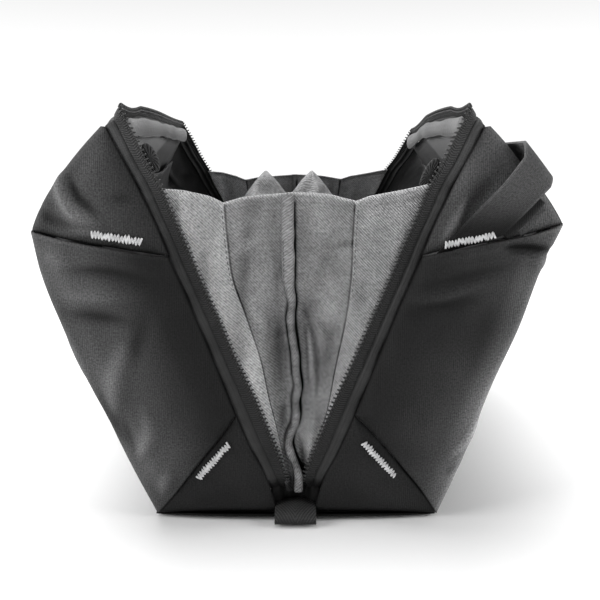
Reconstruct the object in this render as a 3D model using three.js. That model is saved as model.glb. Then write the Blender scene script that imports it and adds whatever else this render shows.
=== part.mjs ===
// Wide-mouth zip pouch with folded ends, unzipped and spread open.
// Millimetres, +Z up. Length along Y, width along X, base on z = 0.
import * as THREE from 'three';

// ---- driving dimensions -------------------------------------------------
const BASE_HALF_WIDTH = 62.5;      // bottom corner, from the centre line
const BASE_EDGE_HEIGHT = 1;        // hinge line of each wall
const BASE_MARGIN = 3;             // from the bottom corner to the edge of the base panel
const WING_HALF_WIDTH = 109.5;     // widest point, where side and shoulder meet
const WING_HEIGHT = 129.5;
const MOUTH_HALF_WIDTH = 77;       // seam between shoulder and zip tape
const MOUTH_HEIGHT = 169;
const TIP_HALF_WIDTH = 71.5;       // coil edge at the top corners
const TIP_HEIGHT = 177;
const END_HALF_LENGTH = 121;       // inner face of the end panels
const SHOULDER_LEAN = 0.147;       // how far the shoulder ends lean in, per mm above their seam

const SHELL = 1.2;                 // outer fabric
const GAP = 0.4;                   // clearance between neighbouring pieces
const FOAM = 3;
const LINING = 0.8;
const FACING = 2.4;
const FACING_HEIGHT = 14;
const STIFFENER = 2.5;
const LAYER_FOOT = 9;              // where foam and lining start above the floor

const SEAM_LOW = { x: 26, z: 47 };         // foot of the end panel, on the zip seam
const SEAM_HIGH = { x: 52.7, z: 117.5 };   // foot of the shoulder end, on the zip seam
const SEAM_FOOT = { x: 8, z: 5 };          // bottom of the zip seam

const ZIP_SPLIT_HEIGHT = 60;       // above this the zip belongs to the walls
const ZIP_FOOT_HEIGHT = 22;
const ZIP_SLOPE = 0.432;           // outward run of the zip, per mm of height
const TAPE_WIDTH_X = 8.4;          // tape from seam to coil edge, measured along X
const TAPE = 1;
const COIL_WIDTH = 2.4;
const COIL = 1.4;
const LOW_ZIP_RECESS = 4.4;        // the fixed foot of the zip sits behind the wall zip

const GUSSET_DEPTH = 114.5;        // outer face of the gusset
const GUSSET = 1;
const GUSSET_TOP = { centre: 141.5, notch: 138, side: 143.5 };
const GUSSET_NOTCH_X = 27;
const GUSSET_SIDE_X = 52;
const BINDING_WIDTH = 7;
const BINDING = 2.6;

const BARTACK = { length: 20, width: 3, height: 0.8 };
const HIGH_BARTACK = { x: 71, z: 124.6 };            // on the shoulder seam
const LOW_BARTACK = { x: 35.4, z: 28.2, tilt: -0.85 };  // beside the diagonal seam
const LOOP = { width: 18, reach: 9.4, height: 5.6, webbing: 1.4 };
const STRAP = {
  width: 21,
  footWidth: 27,
  thickness: 2,
  cornerRadius: 8,
  foot: { x: 72.5, z: 127.6 },       // sewn end, just above the shoulder seam
  knee: { x: 85, z: 142 },           // halfway up the end face
  run: { x: 98.6, z: 156.5 },        // along the shoulder, with finger room under it
  standOff: 3.8,                     // from the end panels to the middle of the strap
};
const POCKET = { bottom: 25, top: 118, halfLength: 96, thickness: 0.8, standOff: 11 };
const TAB = { width: 12, height: 20, thickness: 1.5, x: 64, z: 148 };
const TAB_FROM_END = { left: 16.5, right: 20 }; // staggered, so the two pass when the mouth closes
const SLIDER = { width: 9, height: 11, plate: 1, z: 13 };
const PULL = { width: 6, length: 11.6, thickness: 1.2 };

// ---- materials ----------------------------------------------------------
const cloth = (color, roughness = 0.9) =>
  new THREE.MeshStandardMaterial({ color, roughness, metalness: 0 });
const SHELL_COLOR = 0x3d3d3f;
const ZIP_COLOR = 0x2c2c2e;
const LINING_COLOR = 0x333335;
const CANVAS_COLOR = 0x8c8c8e;
const THREAD_COLOR = 0xdededc;
const WEBBING_COLOR = 0x2f2f31;
const BOARD_COLOR = 0x1e1e20;

// ---- helpers ------------------------------------------------------------
const V = (x, y, z) => new THREE.Vector3(x, y, z);

function addMesh(parent, name, geometry, material) {
  const mesh = new THREE.Mesh(geometry, material);
  mesh.name = name;
  parent.add(mesh);
  return mesh;
}

// Moves every edge of a simple polygon inward by d.
function inset(points, d) {
  const turn = Math.sign(THREE.ShapeUtils.area(points));
  const count = points.length;
  const lines = points.map((p, i) => {
    const along = points[(i + 1) % count].clone().sub(p).normalize();
    const inward = new THREE.Vector2(-along.y, along.x).multiplyScalar(turn * d);
    return { p: p.clone().add(inward), along };
  });
  return lines.map((b, i) => {
    const a = lines[(i + count - 1) % count];
    const cross = a.along.cross(b.along);
    const t = b.p.clone().sub(a.p).cross(b.along) / cross;
    return a.p.clone().addScaledVector(a.along, t);
  });
}

// A flat sheet: the polygon through the given points, grown by `thickness` along `toward`.
function sheet(parent, name, points, thickness, toward, material, margin = GAP / 2) {
  const u = points[1].clone().sub(points[0]).normalize();
  const n = u.clone().cross(points[2].clone().sub(points[1])).normalize();
  if (n.dot(toward) < 0) n.negate();
  const v = n.clone().cross(u);
  const flat = points.map((p) => {
    const d = p.clone().sub(points[0]);
    return new THREE.Vector2(d.dot(u), d.dot(v));
  });
  const shape = new THREE.Shape(inset(flat, margin));
  const geometry = new THREE.ExtrudeGeometry(shape, { depth: thickness, bevelEnabled: false });
  const mesh = addMesh(parent, name, geometry, material);
  mesh.quaternion.setFromRotationMatrix(new THREE.Matrix4().makeBasis(u, v, n));
  mesh.position.copy(points[0]);
  return mesh;
}

// A closed ribbon through four-cornered sections.
function ribbon(parent, name, sections, material) {
  const positions = sections.flat().flatMap((p) => [p.x, p.y, p.z]);
  const index = [];
  for (let s = 0; s < sections.length - 1; s += 1) {
    for (let k = 0; k < 4; k += 1) {
      const a = 4 * s + k;
      const b = 4 * s + ((k + 1) % 4);
      index.push(a, b, b + 4, a, b + 4, a + 4);
    }
  }
  const last = 4 * (sections.length - 1);
  index.push(0, 2, 1, 0, 3, 2, last, last + 1, last + 2, last, last + 2, last + 3);
  const geometry = new THREE.BufferGeometry();
  geometry.setAttribute('position', new THREE.Float32BufferAttribute(positions, 3));
  geometry.setIndex(turnedOut(geometry, index));
  geometry.computeVertexNormals();
  return addMesh(parent, name, geometry, material);
}

// Reverses the triangles if they enclose a negative volume.
function turnedOut(geometry, index) {
  const at = (i) => new THREE.Vector3().fromBufferAttribute(geometry.attributes.position, i);
  let volume = 0;
  for (let i = 0; i < index.length; i += 3) {
    volume += at(index[i]).dot(at(index[i + 1]).cross(at(index[i + 2])));
  }
  return volume > 0 ? index : index.reverse();
}

// ---- the cross-section of a wall ----------------------------------------
const SECTION = {
  foot: new THREE.Vector2(BASE_HALF_WIDTH, BASE_EDGE_HEIGHT),
  wing: new THREE.Vector2(WING_HALF_WIDTH, WING_HEIGHT),
  mouth: new THREE.Vector2(MOUTH_HALF_WIDTH, MOUTH_HEIGHT),
};
const sideAlong = SECTION.wing.clone().sub(SECTION.foot).normalize();
const shoulderAlong = SECTION.mouth.clone().sub(SECTION.wing).normalize();
const inwardOf = (along) => new THREE.Vector2(-along.y, along.x);

// The point where the side and shoulder planes meet, both moved in by d.
function wingAt(d) {
  const a = SECTION.foot.clone().addScaledVector(inwardOf(sideAlong), d);
  const b = SECTION.mouth.clone().addScaledVector(inwardOf(shoulderAlong), d);
  const t = b.sub(a).cross(shoulderAlong) / sideAlong.cross(shoulderAlong);
  return a.addScaledVector(sideAlong, t);
}

// A point on the side plane or the shoulder plane, moved in by d.
function onSide(z, d) {
  const from = SECTION.foot.clone().addScaledVector(inwardOf(sideAlong), d);
  return from.addScaledVector(sideAlong, (z - from.y) / sideAlong.y);
}
function onShoulder(z, d) {
  const from = SECTION.mouth.clone().addScaledVector(inwardOf(shoulderAlong), d);
  return from.addScaledVector(shoulderAlong, (z - from.y) / shoulderAlong.y);
}

// How far the end leans in at a point of the shoulder end.
const seamLine = new THREE.Vector2(WING_HALF_WIDTH - SEAM_HIGH.x, WING_HEIGHT - SEAM_HIGH.z).normalize();
function lean(x, z) {
  const above = new THREE.Vector2(x - SEAM_HIGH.x, z - SEAM_HIGH.z);
  return SHOULDER_LEAN * Math.max(0, seamLine.cross(above));
}

// Extrudes an outline of the wall's cross-section along Y, between -half and +half.
function alongWall(parent, name, side, outline, half, material) {
  const shape = new THREE.Shape(outline.map((p) => new THREE.Vector2(side * p.x, p.y)));
  const geometry = new THREE.ExtrudeGeometry(shape, { depth: 2 * half, bevelEnabled: false });
  const mesh = addMesh(parent, name, geometry, material);
  mesh.rotation.x = Math.PI / 2;
  mesh.position.y = half;
  return mesh;
}

// ---- zip ----------------------------------------------------------------
const coilX = (z) => TIP_HALF_WIDTH - ZIP_SLOPE * (TIP_HEIGHT - z);
const zipAlong = new THREE.Vector2(ZIP_SLOPE, 1).normalize();
const mouthAcross = new THREE.Vector2(MOUTH_HALF_WIDTH - TIP_HALF_WIDTH, MOUTH_HEIGHT - TIP_HEIGHT);
const mouthUnit = mouthAcross.clone().normalize();
const mouthInward = new THREE.Vector2(mouthUnit.y, -mouthUnit.x);

// One section of a strip that follows the zip. `from` and `to` run from the coil edge
// toward the seam, `near` and `far` run inward from the outer face of the tape.
function endSection(side, end, z, from, to, near, far, depth) {
  const corner = (across, inward) => {
    const x = coilX(z) + across / zipAlong.y;
    return V(side * x, end * (depth - lean(x, z) - inward), z);
  };
  return [corner(from, near), corner(to, near), corner(to, far), corner(from, far)];
}

function tipSection(side, end, from, to, near, far, depth) {
  const corner = (across, inward) => {
    const x = TIP_HALF_WIDTH + mouthUnit.x * across + mouthInward.x * inward;
    const z = TIP_HEIGHT + mouthUnit.y * across + mouthInward.y * inward;
    return V(side * x, end * (depth - lean(x, z) - inward), z);
  };
  return [corner(from, near), corner(to, near), corner(to, far), corner(from, far)];
}

const TAPE_DEPTH = END_HALF_LENGTH - GAP;       // outer face of the wall's tape
const TAPE_WIDTH = TAPE_WIDTH_X * zipAlong.y;

function wallZip(parent, sideName, side) {
  const strip = (name, to, near, far, material) => {
    const run = [ZIP_SPLIT_HEIGHT, SEAM_HIGH.z];
    const half = (end) => [
      ...run.map((z) => endSection(side, end, z, 0, to, near, far, TAPE_DEPTH)),
      tipSection(side, end, 0, to, near, far, TAPE_DEPTH),
    ];
    ribbon(parent, `${sideName}_${name}`, [...half(-1), ...half(1).reverse()], material);
  };
  strip('zip_tape', TAPE_WIDTH - GAP, 0, TAPE, cloth(ZIP_COLOR));
  strip('zip_coil', COIL_WIDTH, -GAP - COIL, -GAP, cloth(ZIP_COLOR, 0.45));
}

function lowZip(parent, label, side, end) {
  const depth = END_HALF_LENGTH - LOW_ZIP_RECESS;
  const strip = (name, to, near, far, material) => {
    const run = [ZIP_FOOT_HEIGHT, ZIP_SPLIT_HEIGHT - 1];
    const sections = run.map((z) => endSection(side, end, z, 0, to, near, far, depth));
    ribbon(parent, `${label}_low_${name}`, sections, material);
  };
  strip('zip_tape', TAPE_WIDTH - GAP, 0, TAPE, cloth(ZIP_COLOR));
  strip('zip_coil', COIL_WIDTH, -GAP - COIL + 0.2, -GAP, cloth(ZIP_COLOR, 0.45));
}

// A bartack: a low bar of thread from one point to another, standing on a face at `depth`.
function bartack(parent, name, side, end, middle, slope, depth) {
  const geometry = new THREE.BoxGeometry(BARTACK.length, BARTACK.height, BARTACK.width);
  const mesh = addMesh(parent, name, geometry, cloth(THREAD_COLOR, 0.8));
  mesh.rotation.y = -side * slope;
  mesh.position.set(side * middle.x, end * (depth + BARTACK.height / 2), middle.z);
}

// ---- base ---------------------------------------------------------------
const ENDS = [['front', -1], ['back', 1]];
const SIDES = [['left', -1], ['right', 1]];

function slabAt(parent, name, width, length, thickness, z, material) {
  const mesh = addMesh(parent, name, new THREE.BoxGeometry(width, length, thickness), material);
  mesh.position.z = z + thickness / 2;
}

function gusset(parent, label, end) {
  const depth = end * GUSSET_DEPTH;
  const foot = ZIP_FOOT_HEIGHT + 3;
  const outline = [
    V(coilX(foot), depth, foot),
    V(GUSSET_SIDE_X, depth, GUSSET_TOP.side),
    V(GUSSET_NOTCH_X, depth, GUSSET_TOP.notch),
    V(0, depth, GUSSET_TOP.centre),
    V(-GUSSET_NOTCH_X, depth, GUSSET_TOP.notch),
    V(-GUSSET_SIDE_X, depth, GUSSET_TOP.side),
    V(-coilX(foot), depth, foot),
  ];
  sheet(parent, `${label}_gusset`, outline, GUSSET, V(0, -end, 0), cloth(CANVAS_COLOR, 0.95), 0);
  const height = GUSSET_TOP.centre - foot - 2;
  const box = new THREE.BoxGeometry(BINDING_WIDTH, BINDING, height);
  const binding = addMesh(parent, `${label}_gusset_binding`, box, cloth(CANVAS_COLOR, 0.95));
  binding.position.set(0, end * (GUSSET_DEPTH + GAP + BINDING / 2), foot + height / 2);
}

function buildBase(root) {
  const base = new THREE.Group();
  root.add(base);
  const halfWidth = BASE_HALF_WIDTH - BASE_MARGIN;
  const halfLength = END_HALF_LENGTH - 2 * SHELL - GAP;
  slabAt(base, 'base_panel', 2 * halfWidth, 2 * halfLength, SHELL, 0, cloth(SHELL_COLOR));
  const boardZ = SHELL + GAP;
  const board = cloth(BOARD_COLOR, 0.6);
  slabAt(base, 'base_stiffener', 2 * halfWidth - 8, 2 * halfLength - 12, STIFFENER, boardZ, board);
  const liningZ = boardZ + STIFFENER + GAP;
  const lining = cloth(LINING_COLOR);
  slabAt(base, 'base_lining', 2 * halfWidth - 6, 2 * halfLength - 10, LINING, liningZ, lining);

  for (const [endName, end] of ENDS) {
    gusset(base, endName, end);
    for (const [sideName, side] of SIDES) {
      const label = `${endName}_${sideName}`;
      lowZip(base, label, side, end);
      const depth = end * TAPE_DEPTH;
      const corners = [
        V(side * (BASE_HALF_WIDTH - 1), depth, BASE_EDGE_HEIGHT / 2),
        V(side * SEAM_LOW.x, depth, SEAM_LOW.z),
        V(side * SEAM_FOOT.x, depth, SEAM_FOOT.z),
        V(side * (SEAM_FOOT.x + 4), depth, BASE_EDGE_HEIGHT / 2),
      ];
      sheet(base, `${label}_low_end_panel`, corners, SHELL, V(0, -end, 0), cloth(SHELL_COLOR));
      const outer = END_HALF_LENGTH + SHELL + GAP;
      bartack(base, `${label}_low_bartack`, side, end, LOW_BARTACK, LOW_BARTACK.tilt, outer);
    }
  }
}

// ---- walls --------------------------------------------------------------
function buildWall(root, sideName, side) {
  const wall = new THREE.Group();
  root.add(wall);
  const shell = () => cloth(SHELL_COLOR);
  const half = END_HALF_LENGTH - GAP;

  const sideStart = BASE_EDGE_HEIGHT + 2;
  const sideEnd = WING_HEIGHT - 1;
  const sideOutline = [
    onSide(sideStart, 0), onSide(sideEnd, 0), onSide(sideEnd, SHELL), onSide(sideStart, SHELL),
  ];
  alongWall(wall, `${sideName}_side_panel`, side, sideOutline, half, shell());

  const mouthEnd = END_HALF_LENGTH - lean(MOUTH_HALF_WIDTH, MOUTH_HEIGHT) - 2 * GAP;
  const wingEnd = END_HALF_LENGTH - 2 * GAP;
  const shoulder = [
    V(side * WING_HALF_WIDTH, -wingEnd, WING_HEIGHT),
    V(side * MOUTH_HALF_WIDTH, -mouthEnd, MOUTH_HEIGHT),
    V(side * MOUTH_HALF_WIDTH, mouthEnd, MOUTH_HEIGHT),
    V(side * WING_HALF_WIDTH, wingEnd, WING_HEIGHT),
  ];
  const inward = V(-side * shoulderAlong.y, 0, shoulderAlong.x);
  sheet(wall, `${sideName}_shoulder_panel`, shoulder, SHELL, inward, shell(), GAP);

  // Foam and lining follow the side and the shoulder, one inside the other.
  const layer = (name, from, to, halfLength, top, color) => {
    const outline = [
      onSide(LAYER_FOOT, from), wingAt(from), onShoulder(top, from),
      onShoulder(top, to), wingAt(to), onSide(LAYER_FOOT, to),
    ];
    alongWall(wall, `${sideName}_${name}`, side, outline, halfLength, cloth(color));
  };
  const foamAt = SHELL + GAP;
  const liningAt = foamAt + FOAM + GAP;
  const facingAt = liningAt + LINING + GAP;
  const innerHalf = mouthEnd - 5;
  layer('foam', foamAt, foamAt + FOAM, innerHalf, MOUTH_HEIGHT - 8, BOARD_COLOR);
  layer('lining', liningAt, liningAt + LINING, innerHalf, MOUTH_HEIGHT - 6, LINING_COLOR);

  const facingTop = MOUTH_HEIGHT - 4;
  const facingFoot = facingTop - FACING_HEIGHT;
  const facing = [
    onShoulder(facingFoot, facingAt), onShoulder(facingTop, facingAt),
    onShoulder(facingTop, facingAt + FACING), onShoulder(facingFoot, facingAt + FACING),
  ];
  alongWall(wall, `${sideName}_mouth_facing`, side, facing, innerHalf - 2, cloth(CANVAS_COLOR));

  const pocketNear = facingAt + POCKET.standOff;
  const pocket = [
    onSide(POCKET.bottom, facingAt),
    onSide(POCKET.top, pocketNear),
    onSide(POCKET.top, pocketNear + POCKET.thickness),
    onSide(POCKET.bottom, facingAt + POCKET.thickness),
  ];
  alongWall(wall, `${sideName}_slip_pocket`, side, pocket, POCKET.halfLength, cloth(LINING_COLOR));

  wallZip(wall, sideName, side);

  for (const [endName, end] of ENDS) {
    const label = `${endName}_${sideName}`;
    const outward = V(0, end, 0);
    const at = (x, z) => V(side * x, end * (END_HALF_LENGTH - lean(x, z)), z);
    const main = [
      at(BASE_HALF_WIDTH, BASE_EDGE_HEIGHT + 1),
      at(WING_HALF_WIDTH, WING_HEIGHT),
      at(SEAM_HIGH.x, SEAM_HIGH.z),
      at(SEAM_LOW.x, SEAM_LOW.z),
    ];
    sheet(wall, `${label}_end_panel`, main, SHELL, outward, shell());
    const top = [
      at(SEAM_HIGH.x, SEAM_HIGH.z),
      at(WING_HALF_WIDTH, WING_HEIGHT),
      at(MOUTH_HALF_WIDTH, MOUTH_HEIGHT),
    ];
    sheet(wall, `${label}_shoulder_end`, top, SHELL, outward, shell(), GAP);
    const slope = Math.atan2(seamLine.y, seamLine.x);
    const outer = END_HALF_LENGTH + SHELL + GAP;
    bartack(wall, `${label}_bartack`, side, end, HIGH_BARTACK, slope, outer);
  }

  const tabBox = new THREE.BoxGeometry(TAB.width, TAB.thickness, TAB.height);
  const tab = addMesh(wall, `${sideName}_inner_tab`, tabBox, cloth(WEBBING_COLOR));
  tab.position.set(side * TAB.x, -(END_HALF_LENGTH - TAB_FROM_END[sideName]), TAB.z);
  tab.rotation.y = side * Math.atan(ZIP_SLOPE);
}

// ---- carry strap, on the right wall --------------------------------------
function buildStrap(root) {
  const { foot, knee, run } = STRAP;
  const depth = END_HALF_LENGTH + STRAP.standOff;
  const legTop = { x: run.x - 3.6, z: run.z - 4.3 };
  const footAcross = V(seamLine.x, 0, seamLine.y);
  const runAcross = V(-shoulderAlong.x, 0, -shoulderAlong.y);
  const outward = V(shoulderAlong.y, 0, -shoulderAlong.x);
  const section = (centre, across, width, normal) => {
    const w = across.clone().multiplyScalar(width / 2);
    const n = normal.clone().multiplyScalar(STRAP.thickness / 2);
    return [
      centre.clone().sub(w).sub(n), centre.clone().add(w).sub(n),
      centre.clone().add(w).add(n), centre.clone().sub(w).add(n),
    ];
  };
  const half = (end) => {
    const front = V(0, end, 0);
    const sections = [
      section(V(foot.x, end * depth, foot.z), footAcross, STRAP.footWidth, front),
      section(V(knee.x, end * (depth - 0.2), knee.z), runAcross, STRAP.width, front),
    ];
    const steps = 4;
    for (let i = 0; i <= steps; i += 1) {
      const a = (i / steps) * (Math.PI / 2);
      const rise = STRAP.cornerRadius * Math.sin(a);
      const back = STRAP.cornerRadius * (1 - Math.cos(a));
      const share = rise / STRAP.cornerRadius;
      const x = legTop.x + (run.x - legTop.x) * share;
      const z = legTop.z + (run.z - legTop.z) * share;
      const normal = front.clone().multiplyScalar(Math.cos(a)).addScaledVector(outward, Math.sin(a));
      sections.push(section(V(x, end * (depth - 0.4 - back), z), runAcross, STRAP.width, normal));
    }
    return sections;
  };
  const sections = [...half(-1), ...half(1).reverse()];
  ribbon(root, 'carry_strap', sections, cloth(SHELL_COLOR));
}

// ---- webbing loops, slider and pull --------------------------------------
function buildLoop(root, endName, end) {
  const { reach, height, webbing, width } = LOOP;
  const radius = height / 2;
  const straight = reach - radius;
  const shape = new THREE.Shape();
  shape.moveTo(0, 0);
  shape.lineTo(straight, 0);
  shape.absarc(straight, radius, radius, -Math.PI / 2, Math.PI / 2, false);
  shape.lineTo(0, height);
  shape.lineTo(0, height - webbing);
  shape.lineTo(straight, height - webbing);
  shape.absarc(straight, radius, radius - webbing, Math.PI / 2, -Math.PI / 2, true);
  shape.lineTo(0, webbing);
  shape.closePath();
  const options = { depth: width, bevelEnabled: false, curveSegments: 8 };
  const loop = addMesh(root, `${endName}_loop`, new THREE.ExtrudeGeometry(shape, options),
    cloth(WEBBING_COLOR));
  loop.quaternion.setFromRotationMatrix(
    new THREE.Matrix4().makeBasis(V(0, end, 0), V(0, 0, 1), V(end, 0, 0)));
  loop.position.set(-end * width / 2, end * (END_HALF_LENGTH + 0.6), 0.2);
}

function buildSlider(root) {
  const channel = TAPE + GAP + COIL + 1;
  const tapeInner = END_HALF_LENGTH - LOW_ZIP_RECESS - TAPE;
  const inner = tapeInner - 0.5 - SLIDER.plate;
  const profile = new THREE.Shape();
  profile.moveTo(0, 0);
  profile.lineTo(SLIDER.plate, 0);
  profile.lineTo(SLIDER.plate, SLIDER.height - 3);
  profile.lineTo(SLIDER.plate + channel, SLIDER.height - 3);
  profile.lineTo(SLIDER.plate + channel, 0);
  profile.lineTo(2 * SLIDER.plate + channel, 0);
  profile.lineTo(2 * SLIDER.plate + channel, SLIDER.height);
  profile.lineTo(0, SLIDER.height);
  profile.closePath();
  const metal = new THREE.MeshStandardMaterial({ color: 0x1b1b1d, roughness: 0.4, metalness: 0.8 });
  const body = addMesh(root, 'zip_slider',
    new THREE.ExtrudeGeometry(profile, { depth: SLIDER.width, bevelEnabled: false }), metal);
  body.quaternion.setFromRotationMatrix(
    new THREE.Matrix4().makeBasis(V(0, 1, 0), V(0, 0, 1), V(1, 0, 0)));
  body.position.set(-SLIDER.width / 2, inner, SLIDER.z);

  const pullBox = new THREE.BoxGeometry(PULL.width, PULL.thickness, PULL.length);
  const pull = addMesh(root, 'zip_pull', pullBox, metal.clone());
  const pullY = inner + 2 * SLIDER.plate + channel + GAP + PULL.thickness / 2;
  pull.position.set(0, pullY, SLIDER.z + SLIDER.height - PULL.length / 2);
}

const group = new THREE.Group();
group.name = 'zip_pouch';
buildBase(group);
for (const [sideName, side] of SIDES) buildWall(group, sideName, side);
buildStrap(group);
for (const [endName, end] of ENDS) buildLoop(group, endName, end);
buildSlider(group);

export default group;
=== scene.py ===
import math

import bmesh
import bpy
import numpy as np
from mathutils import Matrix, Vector


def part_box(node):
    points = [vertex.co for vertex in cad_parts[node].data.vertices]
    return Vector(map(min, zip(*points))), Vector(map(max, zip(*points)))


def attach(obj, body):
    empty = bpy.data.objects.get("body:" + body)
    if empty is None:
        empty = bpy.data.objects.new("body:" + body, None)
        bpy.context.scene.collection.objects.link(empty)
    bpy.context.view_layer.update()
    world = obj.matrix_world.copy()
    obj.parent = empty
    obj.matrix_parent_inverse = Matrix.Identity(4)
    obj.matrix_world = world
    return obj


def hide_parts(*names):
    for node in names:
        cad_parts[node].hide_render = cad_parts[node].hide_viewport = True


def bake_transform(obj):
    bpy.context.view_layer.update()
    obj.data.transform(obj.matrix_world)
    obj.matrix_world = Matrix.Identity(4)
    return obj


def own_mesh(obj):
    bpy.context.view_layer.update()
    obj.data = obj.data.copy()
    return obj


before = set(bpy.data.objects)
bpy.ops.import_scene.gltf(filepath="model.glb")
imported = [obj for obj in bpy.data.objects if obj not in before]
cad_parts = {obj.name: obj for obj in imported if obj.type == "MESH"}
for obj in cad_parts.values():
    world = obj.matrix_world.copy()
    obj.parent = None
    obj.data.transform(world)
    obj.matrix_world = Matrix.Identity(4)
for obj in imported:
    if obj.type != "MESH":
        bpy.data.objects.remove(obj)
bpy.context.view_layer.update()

# ---- sizes, in millimetres in the CAD frame -------------------------------------------
MM = 0.001
END_Y = 121.8  # outer face of the end panels
FOLD_R = 4.0  # rounding where an end panel turns into the long side
PUFF = 2.6  # how far a panel bellies out between its seams
LEAN = 0.147  # how far the shoulder ends lean in, per mm above their seam
TAPE_TUCK = 0.9  # the zip tape lies this far behind the edge of the shell
TOOTH_PITCH = 2.0
TAPE_WIDTH = 9.0  # along the mouth
MOUTH_REACH = 110.0  # the straight part of the zip runs this far to each end
GUSSET_FOOT = 12.0  # the gussets and the open part of the zip start at this height
BASE_HALF = 62.2  # half the width of the base
BASE_REACH = END_Y - 2.6  # half its length
LOOP_HALF = 9.0  # half the width of a webbing loop
STRAP_WIDTH = 20.5
SHELL_THICK, LINING_THICK, CANVAS_THICK = 0.9, 0.8, 0.6

# Places and lines of one end, as (distance from the centre line, height).
DIAGONAL_TOP = (25.5, 48.5)  # where the diagonal seam meets the zip
SHOULDER_START = (52, 117.6)  # where the shoulder seam meets the zip
SHOULDER_WAY = (57.5, 12.0)  # how far the shoulder seam runs across and up
ZIP_SEAM = [(9, 7.5), (12.6, 19.5), (18.3, 31), DIAGONAL_TOP, (33.8, 71), (44.7, 99.6),
            SHOULDER_START, (56.8, 130), (63.2, 143.5), (71.8, 160), (76.6, 169.3)]
COIL_EDGE = [(2.6, 13), (3.9, 20), (9.7, 36), (16.3, 53), (24, 70.5), (32.6, 91.5),
             (38.2, 105), (43.6, 119), (49.6, 132.6), (54.5, 144.6), (60.2, 154.8),
             (66.5, 168), (71.5, 177)]
SIDE_EDGE = {
    -1: [(61.8, 1.2), (71, 21), (80, 42), (89.2, 63), (98.6, 87), (106.4, 112), (108.6, 127.8)],
    1: [(63.2, 1.2), (73, 25.5), (85, 62), (94, 84.5), (104, 116), (108.2, 126), (110, 130.8)],
}
WING_SEAM = {
    -1: [SHOULDER_START, (67.7, 120.1), (87.1, 123.4), (108.6, 127.8)],
    1: [SHOULDER_START, (58.6, 119.6), (69.6, 121.8), (85, 124.8), (96, 127), (110, 130.8)],
}
DIAGONAL = {
    -1: [DIAGONAL_TOP, (31, 40.2), (41.7, 26.6), (51.8, 13.2), (61.8, 1.2)],
    1: [DIAGONAL_TOP, (30, 44), (45.5, 25.8), (56, 12.5), (63.2, 1.2)],
}
SHOULDER_EDGE = {
    -1: [(108.6, 127.8), (103.5, 139), (95, 152), (86, 163), (79.6, 169.8)],
    1: [(110, 130.8), (103.5, 141), (93, 154.5), (85.5, 164), (80, 169.8)],
}

# Soft creases as (line, half-width, height); a height below zero is a dent. Each crease also paints light on
# one flank and shade on the other.
MAIN_CREASES = {
    -1: [([(68, 84), (75, 66), (78, 48)], 4.5, 1.0), ([(64, 52), (61.5, 42), (67, 30)], 3.5, 0.9),
         ([(54, 25), (58, 12)], 3.0, 0.8), ([(93, 112), (72, 110), (56, 107)], 3.2, -0.9),
         ([(95, 93), (80, 91), (67, 90)], 3.6, -0.8), ([(97, 101), (80, 100.5), (63, 100.5)], 3.2, 0.6),
         ([(95, 84), (89, 64)], 4.0, 0.7), ([(103, 119), (92, 114)], 3.5, 0.6),
         ([(84, 60), (74, 36)], 3.6, -0.6), ([(73, 47), (69, 33)], 2.4, -0.5),
         ([(60, 96), (66, 74)], 4.5, -0.4)],
    1: [([(57, 116), (72, 119), (86, 122)], 2.0, 0.6), ([(84, 121), (108, 119)], 2.2, -1.6),
        ([(96, 117), (106, 113)], 2.6, 0.8), ([(51, 105), (70, 109), (88, 114)], 3.0, -0.7),
        ([(47, 99), (60, 101), (76, 107)], 2.6, 0.8), ([(48, 94), (63, 96), (78, 100)], 3.2, -0.5),
        ([(67, 29), (74, 36), (80, 46)], 2.0, 1.2), ([(71, 25), (66, 19.5)], 2.6, -0.45),
        ([(76, 30), (83, 42)], 2.6, -0.7), ([(84, 100), (76, 62)], 7.0, -0.5)],
}
SHOULDER_CREASES = {
    -1: [([(97, 153), (93.5, 141), (88, 134), (79.5, 130.2)], 3.1, 1.9),
         ([(91, 149), (87.5, 140.5), (80, 135)], 2.4, -0.9),
         ([(104, 137), (97, 131.5), (90, 129)], 2.2, -0.6), ([(75, 141), (66, 139.5)], 2.8, -0.5),
         ([(90, 127.8), (76, 126.5)], 1.8, 0.5)],
    1: [([(66, 128), (76, 142), (84, 152)], 4.0, -0.45), ([(64, 140), (74, 158)], 5.0, 0.5),
        ([(60, 124), (66, 133), (70, 142)], 1.8, 0.6)],
}
GUSSET_CREASES = [
    ([(1.3, 99.4), (4.3, 92.2), (7.3, 83.9), (9.3, 73.5), (10, 54.8)], 1.3, -1.3),
    ([(6.3, 84), (7, 63)], 1.4, 0.9), ([(4.3, 88), (5.8, 69), (6.3, 58)], 1.2, -1.0),
    ([(10.3, 89), (16.3, 79.7)], 1.6, -0.7), ([(3.3, 103.6), (11, 97), (19.3, 87)], 4.5, 0.8),
    ([(17, 119.6), (25, 121.4)], 2.0, -0.9), ([(9, 52), (6, 28)], 2.2, 0.6),
    ([(-7.7, 139), (-7.2, 98)], 2.4, -0.8), ([(-25.5, 117), (-16, 122)], 2.8, 0.9),
    ([(-12.7, 94), (-11.7, 67)], 3.2, 0.9), ([(-5.0, 94), (-6.9, 75.6), (-5.5, 56)], 2.7, -0.75),
    ([(-20, 99), (-16, 85)], 2.2, 0.6), ([(-19.5, 92), (-14.5, 82)], 1.6, -0.6),
    ([(-4.4, 53), (-5.9, 39)], 1.5, -1.4), ([(-6.2, 34), (-3.0, 24), (-1.6, 14)], 1.2, -1.6),
    ([(1.4, 38), (3.6, 27), (4.6, 15)], 1.1, -1.5), ([(14, 112), (17, 100)], 3.0, 0.5),
    ([(-38, 126), (-31, 112)], 3.0, 0.5), ([(31, 110), (27, 92)], 3.0, -0.5),
    ([(-27, 86), (-22, 70)], 2.4, -0.5),
]
LIGHT = np.array([-0.55, 0.83])  # the way soft light falls across an end, in the plane of the end
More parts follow.
